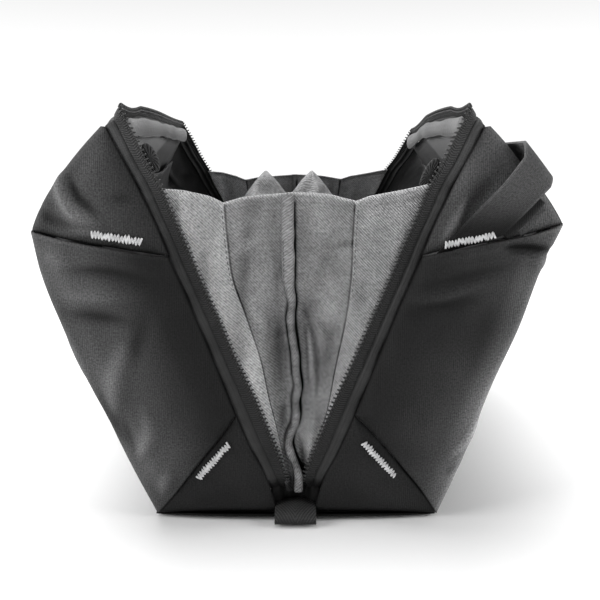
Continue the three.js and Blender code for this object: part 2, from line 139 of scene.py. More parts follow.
# Painted light and shade across a panel or shoulder, from the zip (0), painted dark as shade, to its outer
# fold (1), painted pale as lit.
MAIN_PAINTED_LIGHT = {-1: [(0, 0.18), (0.22, 0.24), (0.42, 0.62), (0.6, 1.1), (0.8, 1.3), (1, 1.25)],
             1: [(0, 0.2), (0.3, 0.28), (0.5, 0.38), (0.75, 0.66), (0.9, 1.2), (1, 2.2)]}
# the same painted light and shade across the shoulders
SHOULDER_PAINTED_LIGHT = {-1: [(0, 0.5), (0.3, 0.85), (0.7, 1.3), (1, 1.2)], 1: [(0, 1.0), (0.3, 1.7), (1, 2.1)]}
# painted shade: the feet low down are darker than the panels above
FOOT_PAINTED_SHADE = 0.34
FAR_OPENING = 9.0  # the mouth stands this much wider at the back


# ---- small tools ----------------------------------------------------------------------
def through(points, t):
    """A smooth line through points, sampled at shares t of its length."""
    p = np.array(points, float)
    steps = np.linalg.norm(np.diff(p, axis=0), axis=1)
    at = np.concatenate([[0], np.cumsum(steps)]) / steps.sum()
    slope = np.gradient(p, at, axis=0)
    t = np.clip(np.asarray(t, float), 0, 1)
    k = np.clip(np.searchsorted(at, t, side="right") - 1, 0, len(p) - 2)
    h = (at[k + 1] - at[k])[:, None]
    s = ((t - at[k])[:, None]) / h
    a, b = p[k], p[k + 1]
    return (a * (2 * s**3 - 3 * s**2 + 1) + b * (3 * s**2 - 2 * s**3)
            + slope[k] * h * (s**3 - 2 * s**2 + s) + slope[k + 1] * h * (s**3 - s**2))


def x_at(line):
    """The distance from the centre line as a function of height."""
    dense = through(line, even(400))
    return lambda z: np.interp(z, dense[:, 1], dense[:, 0])


def even(n):
    return np.linspace(0, 1, n)


def tight_ends(n):
    """Shares from 0 to 1 that crowd towards both ends."""
    return 0.5 - 0.5 * np.cos(math.pi * even(n))


def smooth(x):
    x = np.clip(x, 0, 1)
    return x * x * (3 - 2 * x)


def arch(t):
    """0 at both ends of 0 to 1, and 1 in the middle."""
    return np.sin(math.pi * t)


def bell(x, width):
    """1 at x = 0, dying away smoothly beyond the width."""
    return np.exp(-((x / width) ** 2))


def stacked(*parts):
    """Points from their coordinates, each repeated to fill the shape of all."""
    return np.stack(np.broadcast_arrays(*parts), -1)


def coons(bottom, top, left, right, u, v):
    """The surface between four lines; bottom and top run along u, left and right along v."""
    u, v = u[None, :, None], v[:, None, None]
    b, t, l, r = bottom[None], top[None], left[:, None], right[:, None]
    corners = ((1 - u) * (1 - v) * bottom[0] + u * (1 - v) * bottom[-1]
               + (1 - u) * v * top[0] + u * v * top[-1])
    return (1 - v) * b + v * t + (1 - u) * l + u * r - corners


def gaps(points, line):
    """From every stretch of a polyline to every point: the share run along it, and the gap."""
    p = points.reshape(-1, 1, 2)
    a, b = line[:-1][None], line[1:][None]
    run = np.clip(((p - a) * (b - a)).sum(-1) / np.maximum(((b - a) ** 2).sum(-1), 1e-9), 0, 1)
    return run, p - a - run[..., None] * (b - a)


def distance(points, line):
    """Distance from each point to a polyline, both in one plane."""
    gap = gaps(points, line)[1]
    return np.sqrt((gap**2).sum(-1)).min(1).reshape(points.shape[:-1])


def crease(points, path, width, height, light=LIGHT):
    """The relief of one crease, fading towards pointed ends, and the painted light and shade of its flanks."""
    line = through(path, even(24))
    run, gap = gaps(points, line)
    rows, nearest = np.arange(len(run)), (gap**2).sum(-1).argmin(1)
    gap = gap[rows, nearest]
    share = (nearest + run[rows, nearest]) / (len(line) - 1)
    taper = arch(np.clip(share, 0.03, 0.97)) ** 0.6
    reach = width * (0.45 + 0.55 * taper)
    relief = height * taper * np.exp(-(gap**2).sum(-1) / reach**2)
    lit = relief * (gap @ np.asarray(light)) / reach
    return relief.reshape(points.shape[:-1]), lit.reshape(points.shape[:-1])


def ripple(points, length, seed, waves=7):
    """Smooth unevenness between about -1 and 1, with features about `length` across."""
    rng = np.random.default_rng(seed)
    total = np.zeros(points.shape[:-1])
    for _ in range(waves):
        way = rng.normal(size=points.shape[-1])
        way *= rng.uniform(0.6, 1.5) * 2 * math.pi / (length * np.linalg.norm(way))
        total += np.sin(points @ way + rng.uniform(0, 2 * math.pi))
    return total / math.sqrt(waves) / 1.2


def lean(x, z):
    """How far the end leans in at a point above the shoulder seam."""
    along = np.array(SHOULDER_WAY) / math.hypot(*SHOULDER_WAY)
    above = along[0] * (z - SHOULDER_START[1]) - along[1] * (np.abs(x) - SHOULDER_START[0])
    return LEAN * np.maximum(0, above)


def open_far_end(points):
    """The back end of the mouth stands wider than the front, and lower on the right."""
    x, y, z = points.T
    far = smooth((y + 60) / 160)
    amount = FAR_OPENING * far * smooth((z - 30) / 130) * smooth(np.abs(x) / 40)
    amount *= 1 - smooth((np.abs(x) - 74) / 34)
    drop = 5.0 * smooth((y - 30) / 80) * smooth((z - 140) / 30) * (x > 0)
    return stacked(x + np.sign(x) * amount, y, z - drop)


def new_object(name, data):
    made = bpy.data.objects.new(name, data)
    bpy.context.scene.collection.objects.link(made)
    return made


class Cloth:
    """Gathers grids of points into one mesh, with cloth coordinates and a tone at every point."""

    def __init__(self):
        self.points, self.faces, self.uvs, self.tones = [], [], [], []
        self.count = 0

    def grid(self, points, uv, outward, tone=1.0):
        """points is rows x columns x 3 in mm; outward is the way the front faces, for all or for
        each point."""
        rows, cols = points.shape[:2]
        i = np.arange(rows * cols).reshape(rows, cols)
        quads = stacked(i[:-1, :-1], i[:-1, 1:], i[1:, 1:], i[1:, :-1]).reshape(-1, 4)
        flat = points.reshape(-1, 3)
        normal = np.cross(flat[quads[:, 2]] - flat[quads[:, 0]], flat[quads[:, 3]] - flat[quads[:, 1]])
        out = np.broadcast_to(np.asarray(outward, float), points.shape).reshape(-1, 3)[quads[:, 0]]
        if (normal * out).sum() < 0:
            quads = quads[:, ::-1]
        self.points.append(flat)
        self.uvs.append(np.broadcast_to(uv, (rows, cols, 2)).reshape(-1, 2))
        self.tones.append(np.broadcast_to(tone, (rows, cols)).reshape(-1))
        self.faces.append(quads + self.count)
        self.count += len(flat)
        return self

    def piece(self, name, material, thick=0.0):
        """Makes the mesh. thick is a cloth thickness in mm, grown away from the front."""
        points = open_far_end(np.concatenate(self.points)) * MM
        faces = np.concatenate(self.faces)
        mesh = bpy.data.meshes.new(name)
        mesh.from_pydata(points.tolist(), [], faces.tolist())
        layer = mesh.uv_layers.new(name="cloth")
        loops = np.zeros(len(mesh.loops), np.int32)
        mesh.loops.foreach_get("vertex_index", loops)
        uvs = np.concatenate(self.uvs)
        layer.data.foreach_set("uv", uvs[loops].astype(np.float32).ravel())
        tone = mesh.attributes.new("tone", "FLOAT", "POINT")
        tone.data.foreach_set("value", np.concatenate(self.tones).astype(np.float32))
        materials = material if isinstance(material, (list, tuple)) else [material]
        for m in materials:
            mesh.materials.append(m)
        mesh.polygons.foreach_set("use_smooth", np.full(len(faces), True))
        b = bmesh.new()
        b.from_mesh(mesh)
        bmesh.ops.remove_doubles(b, verts=b.verts, dist=0.00003)
        b.to_mesh(mesh)
        b.free()
        piece = new_object(name, mesh)
        if thick:
            solid = piece.modifiers.new("thickness", "SOLIDIFY")
            solid.thickness = thick * MM
            solid.offset = -1
            if len(materials) > 1:
                solid.material_offset = 1
            apply_modifiers(piece)
        return piece


def apply_modifiers(piece):
    graph = bpy.context.evaluated_depsgraph_get()
    graph.update()
    made = bpy.data.meshes.new_from_object(piece.evaluated_get(graph))
    piece.modifiers.clear()
    piece.data = made


def lengths(path):
    return np.concatenate([[0], np.cumsum(np.linalg.norm(np.diff(path, axis=0), axis=1))])


def tube(name, path, radius, material, sides=8, up=(0, 1, 0), tone=1.0):
    """A closed tube along a path in mm. radius is one value, one for each point, or pairs
    of (across, along up); tone is one value, one for each point, or one for each point and side."""
    n = len(path)
    radius = np.asarray(radius, float)
    if radius.ndim < 2:
        radius = np.stack([np.broadcast_to(radius, (n,))] * 2, -1)
    along = np.gradient(path, axis=0)
    along /= np.linalg.norm(along, axis=1)[:, None]
    side = np.cross(along, np.asarray(up, float))
    side /= np.linalg.norm(side, axis=1)[:, None]
    third = np.cross(side, along)
    turn = np.linspace(0, 2 * math.pi, sides + 1)
    ring = (np.cos(turn)[None, :, None] * side[:, None] * radius[:, :1, None]
            + np.sin(turn)[None, :, None] * third[:, None] * radius[:, 1:, None])
    points = path[:, None] + ring
    outward = np.concatenate([-along[:1, None] + 0 * ring[:1], ring, along[-1:, None] + 0 * ring[-1:]])
    ends = [np.repeat(path[k][None, None], sides + 1, 1) for k in (0, -1)]
    points = np.concatenate([ends[0], points, ends[1]])
    s = lengths(path)
    s = np.concatenate([[s[0]], s, [s[-1]]])
    uv = stacked(turn[None] * radius.mean(), s[:, None])
    tone = np.asarray(tone, float)
    tone = np.broadcast_to(tone[:, None] if tone.ndim == 1 else tone, (n, sides + 1))
    tone = np.concatenate([tone[:1], tone, tone[-1:]])
    return Cloth().grid(points, uv, outward, tone).piece(name, material)


# ---- materials ------------------------------------------------------------------------
def set_inputs(node, values):
    for socket, value in values.items():
        node.inputs[socket].default_value = value


class Shader:
    """A principled material whose cloth pattern is drawn in the cloth's own millimetres."""

    def __init__(self, name, roughness=0.8, sheen=0.0, specular=0.3, metallic=0.0):
        self.material = bpy.data.materials.new(name)
        self.material.use_nodes = True
        self.tree = self.material.node_tree
        self.surface = self.tree.nodes["Principled BSDF"]
        set_inputs(self.surface, {"Roughness": roughness, "Sheen Weight": sheen, "Sheen Roughness": 0.5,
                                  "Specular IOR Level": specular, "Metallic": metallic})
        where = self.node("ShaderNodeUVMap")
        where.uv_map = "cloth"
        split = self.node("ShaderNodeSeparateXYZ")
        self.link(where.outputs["UV"], split.inputs[0])
        self.uv = where.outputs["UV"]
        self.u, self.v = split.outputs["X"], split.outputs["Y"]

    def node(self, kind):
        return self.tree.nodes.new(kind)

    def link(self, a, b):
        self.tree.links.new(a, b)

    def math(self, operation, *values):
        n = self.node("ShaderNodeMath")
        n.operation = operation
        for i, value in enumerate(values):
            if isinstance(value, (int, float)):
                n.inputs[i].default_value = value
            else:
                self.link(value, n.inputs[i])
        return n.outputs[0]

    def wave(self, along, pitch):
        """A sine from 0 to 1 with that pitch in mm."""
        turned = self.math("SINE", self.math("MULTIPLY", along, 2 * math.pi / pitch))
        return self.math("MULTIPLY_ADD", turned, 0.5, 0.5)

    def noise(self, size, detail=3.0, stretch=(1, 1, 1)):
        """Noise from 0 to 1 with features about `size` mm across."""
        scaled = self.node("ShaderNodeMapping")
        scaled.inputs["Scale"].default_value = stretch
        self.link(self.uv, scaled.inputs["Vector"])
        n = self.node("ShaderNodeTexNoise")
        set_inputs(n, {"Scale": 1 / size, "Detail": detail})
        self.link(scaled.outputs["Vector"], n.inputs["Vector"])
        return n.outputs["Fac"]

    def mix(self, share, dark, light):
        n = self.node("ShaderNodeMix")
        n.data_type = "RGBA"
        self.link(share, n.inputs["Factor"])
        for socket, value in (("A", dark), ("B", light)):
            target = [i for i in n.inputs if i.name == socket and i.type == "RGBA"][0]
            if isinstance(value, (int, float)):
                target.default_value = (value, value, value * 1.01, 1)
            else:
                self.link(value, target)
        return [o for o in n.outputs if o.type == "RGBA"][0]

    def colour(self, value):
        """The colour is multiplied by the tone at each point, which paints shade in folds and seams and light
        on ridges and edges.
        """
        tone = self.node("ShaderNodeAttribute")
        tone.attribute_name = "tone"
        n = self.node("ShaderNodeMix")
        n.data_type = "RGBA"
        n.blend_type = "MULTIPLY"
        n.clamp_result = False
        n.inputs["Factor"].default_value = 1
        first, second = [i for i in n.inputs if i.type == "RGBA"]
        self.link(value, first)
        self.link(tone.outputs["Fac"], second)
        self.link([o for o in n.outputs if o.type == "RGBA"][0], self.surface.inputs["Base Color"])
        return self

    def bump(self, height, depth):
        """depth is the height of the relief in mm."""
        n = self.node("ShaderNodeBump")
        set_inputs(n, {"Strength": 1, "Distance": depth * MM})
        self.link(height, n.inputs["Height"])
        self.link(n.outputs["Normal"], self.surface.inputs["Normal"])
        return self


def twill(name, tone, spread, pitch, depth, lines="diagonal", ribs=0.5, speck=0.8, **kind):
    """Woven cloth: diagonal or upright ribs cut by finer yarns, with slow changes of tone."""
    s = Shader(name, **kind)
    rib_way = s.math("ADD", s.u, s.v) if lines == "diagonal" else s.u
    yarn_way = s.math("SUBTRACT", s.u, s.v) if lines == "diagonal" else s.v
    wander = s.math("MULTIPLY", s.noise(9), pitch * 0.5)
    rib = s.wave(s.math("ADD", rib_way, wander), pitch)
    yarn = s.wave(yarn_way, pitch * 0.62)
    weave = s.math("MULTIPLY_ADD", yarn, 0.35, s.math("MULTIPLY", rib, 0.65))
    slub = s.noise(1.6, 2.0, (1, 0.25, 1))
    relief = s.math("MULTIPLY_ADD", slub, 0.5, weave)
    grain = s.math("MULTIPLY_ADD", s.noise(speck, 2.0), 3.0, -1.0)
    cloud = s.math("MULTIPLY_ADD", s.noise(26, 4.0), 2.0, -0.5)
    uneven = s.math("MULTIPLY_ADD", grain, 0.84 - ribs, s.math("MULTIPLY", cloud, 0.16))
    share = s.math("MULTIPLY_ADD", weave, ribs, uneven)
    s.colour(s.mix(share, tone * (1 - spread), tone * (1 + spread)))
    return s.bump(relief, depth).material


def make_webbing(name, tone):
    """Herringbone webbing: slanted yarns that meet in a V along the middle."""
    s = Shader(name, roughness=0.75)
    half = s.math("PINGPONG", s.u, 9.0)
    yarn = s.wave(s.math("MULTIPLY_ADD", s.v, -0.6, half), 1.3)
    cut = s.wave(s.v, 1.1)
    weave = s.math("MULTIPLY_ADD", cut, 0.2, s.math("MULTIPLY", yarn, 0.8))
    share = s.math("MULTIPLY_ADD", s.noise(5), 0.3, s.math("MULTIPLY", weave, 0.7))
    s.colour(s.mix(share, tone * 0.1, tone * 2.6))
    return s.bump(weave, 0.3).material


def make_tape(name, tone):
    """Zip tape: fine lengthwise ribs, with the ladder of the coil's sewing beside the teeth."""
    s = Shader(name, roughness=0.6, specular=0.35)
    rib = s.wave(s.u, 0.9)
    cross = s.wave(s.v, 0.8)
    plain = s.math("MULTIPLY_ADD", cross, 0.12, s.math("MULTIPLY", rib, 0.12))
    slant = s.math("MULTIPLY_ADD", s.math("PINGPONG", s.u, 1.9), 0.45, s.v)
    rung = s.math("POWER", s.wave(slant, TOOTH_PITCH / 2), 1.5)
    wander = s.math("MULTIPLY_ADD", s.noise(0.7), 0.3, s.math("MULTIPLY", rung, 0.75))
    ladder = s.math("MULTIPLY", s.math("LESS_THAN", s.u, 4.1), s.math("GREATER_THAN", s.u, 0.4))
    ribbed = s.math("MULTIPLY", ladder, wander)
    cloudy = s.math("MULTIPLY_ADD", s.noise(6), 0.8, plain)
    smooth_part = s.math("MULTIPLY", s.math("SUBTRACT", 1.0, ladder), cloudy)
    share = s.math("ADD", ribbed, smooth_part)
    s.colour(s.mix(share, tone * 0.15, tone * 1.7))
    return s.bump(share, 0.3).material


def make_plain(name, tone, spread, size, depth, **kind):
    """A plain surface with a little unevenness of tone and height."""
    s = Shader(name, **kind)
    speck = s.noise(size, 4.0)
    s.colour(s.mix(speck, tone * (1 - spread), tone * (1 + spread)))
    return s.bump(speck, depth).material


SHELL = twill("shell", 0.045, 0.6, 0.85, 0.12, "upright", ribs=0.26, roughness=0.62, specular=0.15)
CANVAS = twill("canvas", 0.375, 0.68, 1.3, 0.45, speck=1.2, roughness=0.95, specular=0.1)
INNER = twill("inner_lining", 0.12, 0.35, 0.9, 0.08, roughness=0.7, specular=0.3)
POCKET = twill("pocket_cloth", 0.1, 0.25, 0.9, 0.1, roughness=0.7, specular=0.3)
FACING = make_plain("facing", 0.15, 0.35, 1.6, 0.4, roughness=1.0, sheen=0.3, specular=0.1)
TAPE = make_tape("zip_tape", 0.014)
COIL = make_plain("zip_coil", 0.022, 0.2, 0.8, 0.05, roughness=0.35, specular=0.5)
WEBBING = make_webbing("webbing", 0.04)
THREAD = make_plain("white_thread", 0.68, 0.14, 0.4, 0.1, roughness=0.7, specular=0.3)
STITCH = make_plain("canvas_thread", 0.12, 0.3, 0.3, 0.1, roughness=0.8, specular=0.2)
METAL = make_plain("slider_metal", 0.05, 0.15, 0.6, 0.02, roughness=0.35, metallic=0.8)

ENDS = {"front": -1, "back": 1}
SIDES = {"left": -1, "right": 1}
seam_x, coil_x = x_at(ZIP_SEAM), x_at(COIL_EDGE)
# heights where the diagonal, the shoulder seam and the mouth meet the zip
LOW, MID, TOP = DIAGONAL_TOP[1], SHOULDER_START[1], ZIP_SEAM[-1][1]


def zip_line(a, b, t):
    z = a + (b - a) * t
    return stacked(seam_x(z), z)


def bent(piece):
    """Bakes the piece's placement into its mesh."""
    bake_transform(piece)
    return piece


def flatten(piece):
    """The piece gets a mesh of its own and stands on the base, attached to it."""
    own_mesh(piece)
    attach(piece, "base")
    return piece


# ---- shell ----------------------------------------------------------------------------
def end_points(flat, side, end, seams, folds, seed, puff=PUFF, radius=FOLD_R, lip=None, tuck=None,
               creases=(), bow=0.0):
    """Lifts points of one end panel off its plane, and gives each a tone, which paints shade in seams,
    under lips and in dents, and highlights on lips and crease flanks. The panel bellies out from its
    seams and turns at its folds; a lip is an edge lying on top of the next panel, and a tuck is an edge
    lying under it."""
    to_seam = np.min([distance(flat, s) for s in seams], axis=0)
    to_fold = np.min([distance(flat, f) for f in folds], axis=0) if folds else np.full(to_seam.shape, 99.0)
    free = 1 - np.exp(-to_seam / 5.0)
    body = puff * (0.3 * (1 - np.exp(-to_seam / 0.7)) + 0.7 * free)
    slow = ripple(flat, 46, seed) * (1 - np.exp(-to_seam / 12.0))
    quick = ripple(flat, 15, seed + 1) * np.exp(-to_seam / 18.0) * free
    body += 1.5 * slow + 0.4 * quick
    # painted shade: a dark line in each seam and a broad shade beside it; painted light where the ripples
    # bulge the cloth out
    tone = 1 - 0.82 * bell(to_seam, 0.5) - 0.16 * np.exp(-to_seam / 7.0)
    tone += 0.18 * slow + 0.08 * quick
    body = body * smooth(to_fold / 14.0) + bow * smooth(to_fold / 42.0) * free
    if lip is not None:
        away = distance(flat, lip)
        body += 1.3 * np.exp(-away / 7.0)
        body -= 1.1 * (1 - np.sqrt(np.maximum(0, 1 - np.clip(1 - away, 0, 1) ** 2)))
        # painted highlight along the lip and painted shade in the gap under it
        tone += 0.45 * bell(away - 0.7, 0.6) - 0.5 * bell(away, 0.25)
    if tuck is not None:
        away = distance(flat, tuck)
        body -= 1.6 * np.exp(-away / 2.5)
        # painted shade where the edge tucks under the next panel
        tone -= 0.75 * np.exp(-away / 0.9) + 0.15 * np.exp(-away / 6.0)
    for path, width, height in creases:
        relief, lit = crease(flat, path, width, height, LIGHT * [side, 1])
        body += 2.2 * relief * free
        # painted light and shade: creases are paler where they bulge and on the flank towards the light,
        # darker in dents and on the far flank
        tone += 0.75 * relief + 1.3 * lit
    bent_in = np.clip(1 - to_fold / radius, 0, 1)
    back = radius * (1 - np.sqrt(np.maximum(0, 1 - bent_in**2)))
    x, z = flat[..., 0], flat[..., 1]
    y = end * (END_Y + body - back - lean(x, z))
    return stacked(side * x, y, z), np.clip(tone, 0.06, 2.5)


def build_shell(side_name, side):
    """The outer cloth of one wall."""
    u, v, w = tight_ends(72), tight_ends(84), even(90)  # across an end, up it, and along the side
    wing = through(WING_SEAM[side], u)
    rim = build_wall_panel(side_name, side, wing, u, v, w)
    build_shoulder(side_name, side, wing, rim, u, w)
    for end_name, end in ENDS.items():
        build_foot(end_name, end, side_name, side, u, v)


def build_wall_panel(side_name, side, wing, u, v, w):
    """Both end panels and the long side in one sheet. Returns the upper edge of the long side."""
    diagonal = through(DIAGONAL[side], u)
    outer = through(SIDE_EDGE[side], v)
    inner = zip_line(LOW, MID, v)
    flat = coons(diagonal, wing, inner, outer, u, v)
    # painted light and shade across the panel, with more painted light low on the outer part
    pale = np.interp(u, *np.transpose(MAIN_PAINTED_LIGHT[side]))[None]
    pale = pale * (1 + (1.3 if side > 0 else 0.1) * (1 - smooth((flat[..., 1] - 42) / 45)) * u[None] ** 2)
    main = Cloth()
    for end in (-1, 1):
        points, tone = end_points(flat, side, end, [diagonal, inner], [outer], 11 + 3 * end + side,
                                  lip=wing, creases=MAIN_CREASES[side], bow=3.2)
        main.grid(points, flat, (0, end, 0), tone * pale)

    # The long side runs between the folds of the two ends.
    reach = END_Y - FOLD_R
    y = (2 * w - 1) * reach
    middle = arch(w) ** 0.8
    height = outer[:, 1]
    belly = 3.2 * arch(smooth(height / 130)) - 2.5 * smooth((height - 95) / 34)
    x = side * (outer[:, 0][None] + middle[:, None] * belly[None])
    points = stacked(x, np.broadcast_to(y[:, None], x.shape), np.broadcast_to(height[None], x.shape))
    fade = (arch(w)[:, None] ** 0.5) * arch(np.clip(height / 131, 0, 1))[None] ** 0.5
    slow = ripple(points[..., 1:], 60, 40 + side)
    quick = ripple(points[..., 1:] * [1, 0.4], 22, 44 + side)
    points[..., 0] += side * fade * (1.3 * slow + 0.4 * quick)
    # painted shade along the top edge where the shoulder meets it, and painted light where the ripples bulge
    # out
    tone = 1 + 0.12 * slow + 0.07 * quick - 0.7 * bell(131 - height, 0.8)[None]
    # the painted light of the ends dies away past the fold
    rest = MAIN_PAINTED_LIGHT[side][-1][1] - 1  # the tone of the ends dies away past the fold
    tone = tone * (1 + rest * np.exp((np.abs(points[..., 1]) - reach) / 9))
    uv = stacked(points[..., 1], points[..., 2])
    main.grid(points, uv, (side, 0, 0), tone)
    rim = points[:, -1].copy()
    shell = main.piece(f"{side_name}_shell", [SHELL, INNER], thick=SHELL_THICK)
    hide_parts(f"{side_name}_side_panel", f"front_{side_name}_end_panel",
                f"back_{side_name}_end_panel")
    bent(shell)
    return rim


def build_shoulder(side_name, side, wing, rim, u, w):
    """A leaning facet at each end, and the long strip between them."""
    v = tight_ends(56)
    edge = through(SHOULDER_EDGE[side], v)
    inner = zip_line(MID, TOP, v)
    top = inner[-1] + (edge[-1] - inner[-1]) * u[:, None]
    flat = coons(wing, top, inner, edge, u, v)
    # painted light and shade across the shoulder, dark by the zip and pale towards its outer edge
    pale = np.interp(u, *np.transpose(SHOULDER_PAINTED_LIGHT[side]))[None]
    shoulder = Cloth()
    rims = {}
    for end in (-1, 1):
        points, tone = end_points(flat, side, end, [inner], [edge], 21 + 3 * end + side, puff=1.9,
                                  tuck=wing, creases=SHOULDER_CREASES[side], bow=1.2)
        shoulder.grid(points, flat, (0, end, 0), tone * pale)
        rims[end] = points[:, -1]
    share = w[:, None, None]
    points = (1 - share) * rims[-1][None] + share * rims[1][None]
    # its lower edge is the long side's upper edge
    drop = rim - points[:, 0]
    points += drop[:, None] * (1 - smooth(v))[None, :, None]
    fade = (arch(w)[:, None] ** 0.5) * (arch(v)[None] ** 0.7)
    normal = np.array([side * 0.77, 0, 0.64])
    slow = ripple(points[..., 1:], 50, 60 + side)
    points += (fade * (1.4 + 1.2 * slow))[..., None] * normal
    uv = stacked(points[..., 1], 1.55 * points[..., 2])
    shoulder.grid(points, uv, normal, 1.15 + 0.12 * slow * fade)
    piece = shoulder.piece(f"{side_name}_shoulder", [SHELL, INNER], thick=SHELL_THICK)
    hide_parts(f"{side_name}_shoulder_panel", f"front_{side_name}_shoulder_end",
                f"back_{side_name}_shoulder_end")
    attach(piece, f"{side_name}_wall")


def build_foot(end_name, end, side_name, side, u, v):
    """The triangle at the foot of one end."""
    bottom = through([(9.8, 1.7), (36, 1.6), SIDE_EDGE[side][0]], u)
    right = through(DIAGONAL[side][::-1], v)
    rise = zip_line(ZIP_SEAM[0][1], LOW, u)
    left = through([(9.8, 1.7), (9.7, 4.5), ZIP_SEAM[0]], v)
    flat = coons(bottom, rise, left, right, u, v)
    points, tone = end_points(flat, side, end, [right, rise], [bottom], 31 + 3 * end + side,
                              puff=1.8, radius=4.5)
    points[..., 2] = np.maximum(points[..., 2], 0.3)
    # painted shade on the feet, darkest at the bottom edge where they turn under
    tone *= FOOT_PAINTED_SHADE * (0.1 + 0.9 * smooth((flat[..., 1] - 1.7) / 5))
    foot = Cloth().grid(points, flat, (0, end, 0), tone).piece(
        f"{end_name}_{side_name}_foot_panel", [SHELL, INNER], thick=SHELL_THICK)
    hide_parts(f"{end_name}_{side_name}_low_end_panel")
    bent(foot)


def build_base():
    u, v = even(40), even(60)
    px, py = np.meshgrid((2 * u - 1) * BASE_HALF, (2 * smooth(v) - 1) * BASE_REACH)
    edge = np.minimum(BASE_HALF - np.abs(px), BASE_REACH - np.abs(py))
    # the ends of the base belly out below the foot panels and turn up
    full = 1 - (px / BASE_HALF) ** 4
    far = np.clip((np.abs(py) - (END_Y - 12)) / 9.4, 0, 1)
    pz = 0.25 + 0.9 * np.exp(-edge / 1.2) + 1.1 * full * smooth((far - 0.6) / 0.4)
    points = stacked(px, py + np.sign(py) * 4.4 * full * smooth(far * 1.5), pz)
    # painted shade: the base cover is painted near-black, as it lies in the shade under the bag
    base = Cloth().grid(points, points[..., :2], (0, 0, -1), 0.05).piece(
        "base_cover", SHELL, thick=SHELL_THICK)
    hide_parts("base_panel", "base_stiffener")
    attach(base, "base")
    pz = 4.6 + 1.1 * np.exp(-edge / 6.0) + 0.35 * ripple(points[..., :2], 40, 5)
    points = stacked(px * 0.96, py * 0.96, pz)
    lining = Cloth().grid(points, points[..., :2], (0, 0, 1)).piece("floor_lining", INNER, thick=LINING_THICK)
    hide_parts("base_lining")
    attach(lining, "base")


# ---- zip ------------------------------------------------------------------------------
def zip_path(side, step=0.5):
    """The zip from the foot of the front, over the mouth and down the back:
    points on the coil edge, the way across towards the seam, the outward normal, and the tape's width."""
    parts = []
    z = np.arange(COIL_EDGE[0][1], 176.5, step)
    edge = coil_x(z)
    slope = np.gradient(edge, z)
    width = np.maximum(2.5, (seam_x(z) - edge)) + 0.8
    narrow = np.cos(np.arctan(slope))
    sunk = 4.5 * (1 - smooth((z - GUSSET_FOOT) / 9))
    for end in (-1, 1):
        p = stacked(side * edge, end * (END_Y - TAPE_TUCK - sunk - lean(edge, z)), z)
        a = stacked(side * narrow, np.zeros_like(z), -np.sin(np.arctan(slope)))
        n = np.broadcast_to([0, end, 0], p.shape).astype(float)
        # near the tip the tape's outer edge runs to the top of the shoulder
        corner = np.array([side * 77.3, end * (END_Y - TAPE_TUCK - 7.0), 169.8])
        outer = p + (width * narrow)[:, None] * a
        outer += (corner - outer) * smooth((z - 160) / 15)[:, None]
        reach = np.linalg.norm(outer - p, axis=1)
        parts.append((p, (outer - p) / reach[:, None], n, reach))
    front, back = parts[0], [x[::-1] for x in parts[1]]
    y = np.arange(-MOUTH_REACH, MOUTH_REACH + 0.01, step)
    t = (y + MOUTH_REACH) / (2 * MOUTH_REACH)
    p = stacked(side * (72.0 + 1.5 * arch(t)), y,
                178.2 - 1.6 * arch(np.clip(t * 5, 0, 1)) + 1.2 * arch(t))
    a = np.broadcast_to([side * 0.5, 0, -0.866], p.shape).astype(float)
    n = np.broadcast_to([side * 0.866, 0, 0.5], p.shape).astype(float)
    joined = [np.concatenate([f, m, b]) for f, m, b in
              zip(front, (p, a, n, np.full(len(y), TAPE_WIDTH)), back)]
    # round the two corners
    window = np.hanning(13)
    window /= window.sum()

    def soften(x):
        padded = np.concatenate([np.repeat(x[:1], 6, 0), x, np.repeat(x[-1:], 6, 0)])
        if x.ndim == 1:
            return np.convolve(padded, window, "valid")
        return np.stack([np.convolve(padded[:, k], window, "valid") for k in range(3)], -1)

    p, a, n, width = (soften(x) for x in joined)
    a /= np.linalg.norm(a, axis=1)[:, None]
    n -= (n * a).sum(1)[:, None] * a
    n /= np.linalg.norm(n, axis=1)[:, None]
    return p, a, n, width


